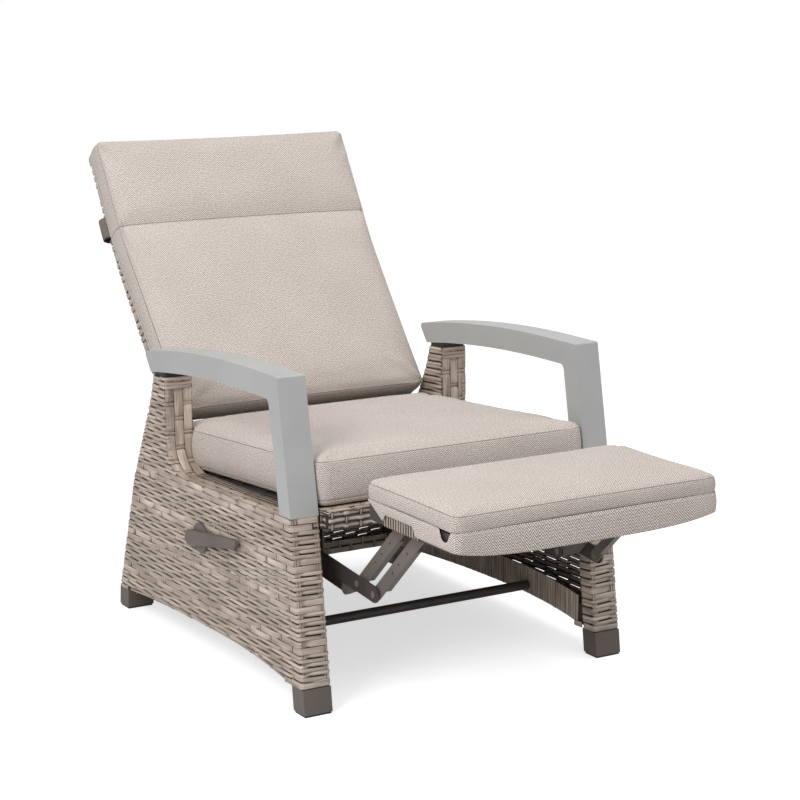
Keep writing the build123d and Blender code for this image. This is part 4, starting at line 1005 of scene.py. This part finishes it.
def cushion(
    name, node, body, lay, size, edges, corner, crown, seams_up, cap, seams_along=(), valley=0.0,
    pitch=12.0, spread=None,
):
    """A boxed cushion: rounded edges, a crowned top, seams round its sides, and its filling.

    Size holds half its width, its length and its thickness. Edges holds the radii of its top and
    bottom edges. Lay puts it in its place, and spread widens it along its length."""
    half, length, thick = size
    middle = length / 2
    xs = lattice(-half, half, (1, 1), (), pitch)
    ys = lattice(0, length, (1, 1), seams_along, pitch)
    zs = lattice(0, thick, (edges[1] / 21, edges[0] / 21), seams_up, 9.0)
    points, faces, flats = box_shell(xs, ys, zs)
    x, y, z = points.T
    # plan places from the middle, and the room to each side, as rows for across and along
    flat = np.stack([x, y - middle])
    room = np.array([[half], [middle]])
    top, bottom = z > thick - 0.01, z < 0.01
    inward = (room - np.abs(flat)).min(axis=0)
    on_side = inward < 0.01
    upper = z > thick / 2
    radius = np.where(upper, *edges)
    down = np.where(upper, thick - z, z)
    inset, drop = turned_edge(np.where(top | bottom, inward, -down), radius)
    drop = np.where(top | bottom | (down < radius), drop, down)
    # rings of the lattice become rounded rings in plan
    share = flat / np.maximum(room - inward, 1e-6)
    limit = room - inset
    plan = share * limit
    bend = np.minimum(np.maximum(corner - inset, 5), limit.min(axis=0))
    past = np.maximum(np.abs(plan) - (limit - bend), 0)
    both = (past > 0).all(axis=0)
    pull = np.where(both, past.max(axis=0) / np.maximum(np.hypot(*past), TINY), 1)
    plan = np.where(both, np.sign(plan) * (limit - bend + past * pull), plan)
    dome = (1 - np.abs(share * (1 - inward / room)) ** 2.4).prod(axis=0)
    height = np.where(upper, thick - drop, drop) + np.where(top, crown * dome, 0)
    # the sides pull in between the corners, and bulge between the seams
    for here, other in ((0, 1), (1, 0)):
        pulled = np.clip(np.abs(plan[here]) / room[here], 0, 1) ** 3
        middling = 1 - (plan[other] / room[other]) ** 2
        plan[here] = plan[here] - np.sign(plan[here]) * WAIST * pulled * middling
    low_seam = seams_up[0] if len(seams_up) > 1 else 0
    band = np.clip((z - low_seam) / (seams_up[-1] - low_seam), 0, 1)
    seam = np.zeros(len(points))
    for place in seams_up:
        seam[(np.abs(z - place) < 0.1) & on_side] = 1
    for place in seams_along:
        near = np.abs(y - place)
        seam[(near < 0.1) & ~bottom] = 1
        dip = valley * np.exp(-((near / 15.0) ** 2)) + valley * 0.4 * np.exp(-((near / 3.0) ** 2))
        height = height - np.where(top, dip, 0)
    if spread:
        rise = np.sin(pi * np.clip(height / (thick * 1.12), 0, 1)) ** 0.5
        wider = spread(plan[1] + middle) * rise
        outer = np.clip((np.abs(plan[0]) / half - 0.75) * 4, 0, 1)
        plan[0] = plan[0] + np.sign(plan[0]) * wider * outer
    # small puckers along the seams
    pucker = PUCKER * np.sin(2 * pi * (x + y) / 27) * np.sin(2 * pi * (x - y) / 71)
    out = SEAM_BULGE * np.sin(pi * band) * on_side - SEAM_DEEP * seam + pucker * on_side
    plan = plan + np.where(np.abs(flat) > room - 0.1, np.sign(flat) * out, 0)
    spots = metres(lay(plan[0], plan[1] + middle, height))
    # each side of the box has a place of its own in the cloth
    picks = {"z": (0, 1, 0.0), "y": (0, 2, 700.0), "x": (1, 2, 1500.0)}
    quads = spots[faces]
    facing = np.cross(quads[:, 1] - quads[:, 0], quads[:, 2] - quads[:, 0])
    inside_out = np.sum(facing * (quads[:, 0] - spots.mean(axis=0))) < 0
    wires = []
    for face, side in zip(faces, flats):
        first, second, offset = picks[side]
        wires += [(points[index][first] + offset, points[index][second]) for index in face]
    mesh = cloth_mesh(name, spots, faces, np.array(wires) / 1000.0, seam)
    if inside_out:
        mesh.flip_normals()
    made = settle(name, mesh, CUSHION, body, "cushion_cloth", node)
    swell(made, (seam > 0.5) | bottom, cap)
    smooth = made.modifiers.new("smooth", "SUBSURF")
    smooth.levels = smooth.render_levels = 1


SEAT_TILT = np.arctan(0.067)
HEAD_SEAM = 467  # up the back cushion, where its headrest is sewn


def on_seat(across, along_seat, up):
    depth = 48 + along_seat * cos(SEAT_TILT) + up * sin(SEAT_TILT)
    return places(across, depth, 387.4 - along_seat * sin(SEAT_TILT) + up * cos(SEAT_TILT))


def on_back(across, up, forward):
    """The back cushion is wider above, from its lower edge to its headrest."""
    flare = 1 + 11 / 297 * np.clip(up / HEAD_SEAM, 0, 1)
    return back_place(across * flare, 87 + up, 17.9 + forward)


def on_footrest(across, along_rest, up):
    return places(across, -88.0 - along_rest, 434.4 + up)


def over_panels(along_seat):
    """How far the seat cushion bulges over the panels, between the arms' legs and the posts."""
    rise = np.clip((along_seat - 62) / 50, 0, 1)
    fall = np.clip((539 - along_seat) / 15, 0, 1)
    return 15 * (rise * rise * (3 - 2 * rise)) * (fall * fall * (3 - 2 * fall))


cushion(
    "seat_pillow", "seat_cushion", "base", on_seat, size=(303, 592, 97), edges=(15, 14), corner=19,
    crown=9, seams_up=(12, 86), cap=0.006, spread=over_panels,
)
cushion(
    "back_pillow", "back_cushion", "back", on_back, size=(299, 679, 72), edges=(17, 5), corner=15,
    crown=7, seams_up=(10, 56), cap=0.009, seams_along=(HEAD_SEAM,), valley=7.0,
)
cushion(
    "footrest_pillow", "footrest_pad", "footrest", on_footrest, size=(287, 301, 36), edges=(8, 2.5),
    corner=20, crown=8, seams_up=(30,), cap=0.006, pitch=11.0,
)


def footrest_pocket():
    """The fabric wall under the pad: open at the rear, cut out at the sides, sagging in front."""
    wide = 287.2
    plan = hoop(wide, -101.0, -389.4, 16, 2.0)
    distance = along(plan)
    marks = np.unique(np.concatenate([distance, np.arange(0, distance[-1], 4.0)]))
    plan = at_distances(plan, marks)[0]
    run = unit(np.gradient(plan, axis=0))
    out = np.stack([run[:, 1], -run[:, 0]], -1)
    depth = plan[:, 1]
    on_front = np.clip((-depth - 372) / 14, 0, 1)
    high = 436.4 - 21 * np.exp(-(((depth + 357) / 15.0) ** 4)) * (1 - on_front)
    low = 402 - 17 * on_front * (1 - (plan[:, 0] / wide) ** 4)
    slot = 1 / (1 + np.exp((np.abs(depth + 205) - 52) / 1.2))
    low = low + 17 * slot
    rear_cut = np.clip((depth + 156) / 55, 0, 1)
    low = low + (433 - low) * rear_cut
    points = []
    for share in np.linspace(0, 1, 9):
        bulge = 1.8 * sin(pi * share) + 2.0 * on_front * share
        points.append(np.column_stack([plan + out * bulge[:, None], high + (low - high) * share]))
    # the lower edge turns in under the frame
    for share in np.linspace(0, 1, 6)[1:]:
        inset = 22 * share * np.clip(1 - slot * 3 - rear_cut, 0.05, 1)
        rise = 3 * np.sin(share * pi / 2)
        edge = plan + out * (2.0 * on_front)[:, None] - out * inset[:, None]
        points.append(np.column_stack([edge, low - 2 * np.sin(pi * share) + rise]))
    rows, many = len(points), len(plan)
    grid = np.arange(rows * many).reshape(rows, many)
    quads = [grid[:-1, :-1], grid[1:, :-1], grid[1:, 1:], grid[:-1, 1:]]
    faces = np.stack(quads, -1).reshape(-1, 4)
    spots = metres(np.concatenate(points))
    places_along = np.tile(marks, rows) / 1000
    places_down = np.repeat(np.arange(rows) * 4.5, many) / 1000
    wires = np.stack([places_along[faces.ravel()], places_down[faces.ravel()]], -1)
    mesh = cloth_mesh("footrest_pocket", spots, faces, wires, np.zeros(len(spots)))
    quads = spots[faces]
    crossed = np.cross(quads[:, 2] - quads[:, 0], quads[:, 3] - quads[:, 1])
    made = settle("footrest_pocket", mesh, CUSHION, "footrest", "cushion_cloth", "footrest_cover")
    thick = made.modifiers.new("cloth", "SOLIDIFY")
    thick.thickness = 0.0012
    thick.offset = 0


def rail_wraps():
    """Strands wound round the footrest's side rails, seen through the pocket's cut-outs."""
    weave = Weave()
    corners = [(258, 412), (256.6, 394.6), (283, 394.6), (283, 431), (270, 431.6)]
    line = rounded(corners, [2, 3, 3], 2.0)
    for sign in (-1, 1):
        for depth in np.arange(-262, -146, 8.6):
            path = places(sign * line[:, 0], depth, line[:, 1])
            weave.strand(path, (0, -sign, 0), 0, 8.2, 1.2)
    weave.piece("rail_wraps", WICKER, "footrest", "wicker")


def strap():
    """The band that holds the back cushion, round the back and out at its sides."""
    side, face, up = BACK_HALF + 1.2, 19.0, 585
    half = [
        (side - 26, face), (side + 2, face + 1), (side + 17, 8),
        (side + 17, -8), (side + 1, -face), (side - 30, -face),
    ]
    corners = [(-x, forward) for x, forward in half] + half[::-1]
    line = rounded(corners, [6, 12, 12, 9, 0, 0, 9, 12, 12, 6], 2.0)
    middle = back_place(line[:, 0], up, line[:, 1])
    way = back_place(line[:, 0], up + 1, line[:, 1]) - middle
    finish = strand_finish("fabric_band", (92, 84, 78), (120, 110, 102), (142, 131, 122), 0.85)
    band = Weave()
    band.strand(middle, way, 0, 48, 1.8)
    made = band.piece("cushion_band", finish, "back", "cushion_cloth", "cushion_strap")


footrest_pocket()
rail_wraps()
strap()

# ---------- pieces of the frame, by the first pattern that their name fits
FRAME_FINISHES = (
    ("weave$", WICKER_STAKE),
    ("cushion|^footrest_(pad|cover)$", CUSHION),
    ("^seat_webbing$", WEBBING),
    ("rivets|pin", FASTENER),
    ("^floor_glides$|_arm_cap$", PLASTIC),
    ("^lever_(handle|boss)$", FOOT_COAT),
    ("^(seat_frame|stretcher|footrest_frame)$", SEAT_STEEL),
    ("_side_frame$|^(rear_frame|back_frame|front_rail)$", INNER_STEEL),
    ("riser", RISER_STEEL),
    ("foot$", FOOT_COAT),
    ("_arm$", ARM_GREY),
    ("", LINK_STEEL),
)
for name, made in nodes.items():
    made.data.materials.clear()
    made.data.materials.append(next(f for test, f in FRAME_FINISHES if re.search(test, name)))

# ---------- floor, light and camera
floor_mesh = bpy.data.meshes.new("floor")
floor_mesh.from_pydata([(-30, -30, 0), (30, -30, 0), (30, 30, 0), (-30, 30, 0)], [], [range(4)])
floor = bpy.data.objects.new("floor", floor_mesh)
scene.collection.objects.link(floor)
paper = material("paper_floor")
seen = paper.node("ShaderNodeLightPath", None, None, "Is Camera Ray")
grain = paper.noise(paper.place(), 3.0)
tone = paper.ramp(grain, (0.74, 0.74, 0.75, 1), (0.78, 0.78, 0.79, 1))
matt = paper.node("ShaderNodeBsdfDiffuse", None, {"Color": tone})
glow = paper.node("ShaderNodeEmission", None, {"Color": (1, 1, 1, 1), "Strength": seen * 0.62})
both = paper.node("ShaderNodeAddShader", None, {0: matt, 1: glow})
paper.node("ShaderNodeOutputMaterial", None, {0: both})
floor_mesh.materials.append(paper.owner)

world = bpy.data.worlds.new("studio")
scene.world = world
studio = Finish(world)
direct, mirror, clear = studio.outputs(
    studio.node("ShaderNodeLightPath"), "Is Camera Ray", "Is Glossy Ray", "Is Transmission Ray"
)
strength = direct.reckon("MAXIMUM", clear) * 0.5 + mirror * 0.25 + 0.5
white = {"Color": (1, 1, 1, 1), "Strength": strength}
backdrop = studio.node("ShaderNodeBackground", None, white)
studio.node("ShaderNodeOutputWorld", None, {0: backdrop})


def lamp(name, place, target, size, power):
    light = bpy.data.lights.new(name, "AREA")
    light.shape = "RECTANGLE"
    light.size = light.size_y = size
    light.energy = power
    made = bpy.data.objects.new(name, light)
    made.location = place
    made.rotation_euler = (Vector(target) - Vector(place)).to_track_quat("-Z", "Y").to_euler()
    scene.collection.objects.link(made)


lamp("key", (-3.2, -1.5, 3.1), (0, 0, 0.4), 2.0, 90)
lamp("top", (0.4, -0.7, 4.2), (0, 0, 0.3), 3.0, 74)

camera_data = bpy.data.cameras.new("camera")
camera_data.lens = 94.81
camera_data.sensor_width = 36
camera_data.clip_end = 200
camera = bpy.data.objects.new("camera", camera_data)
camera.location = (-2.156, -3.659, 1.380)
camera.rotation_euler = (radians(90 - 11.63), 0, -radians(31.22))
scene.collection.objects.link(camera)
scene.camera = camera
scene.view_settings.view_transform = "Standard"
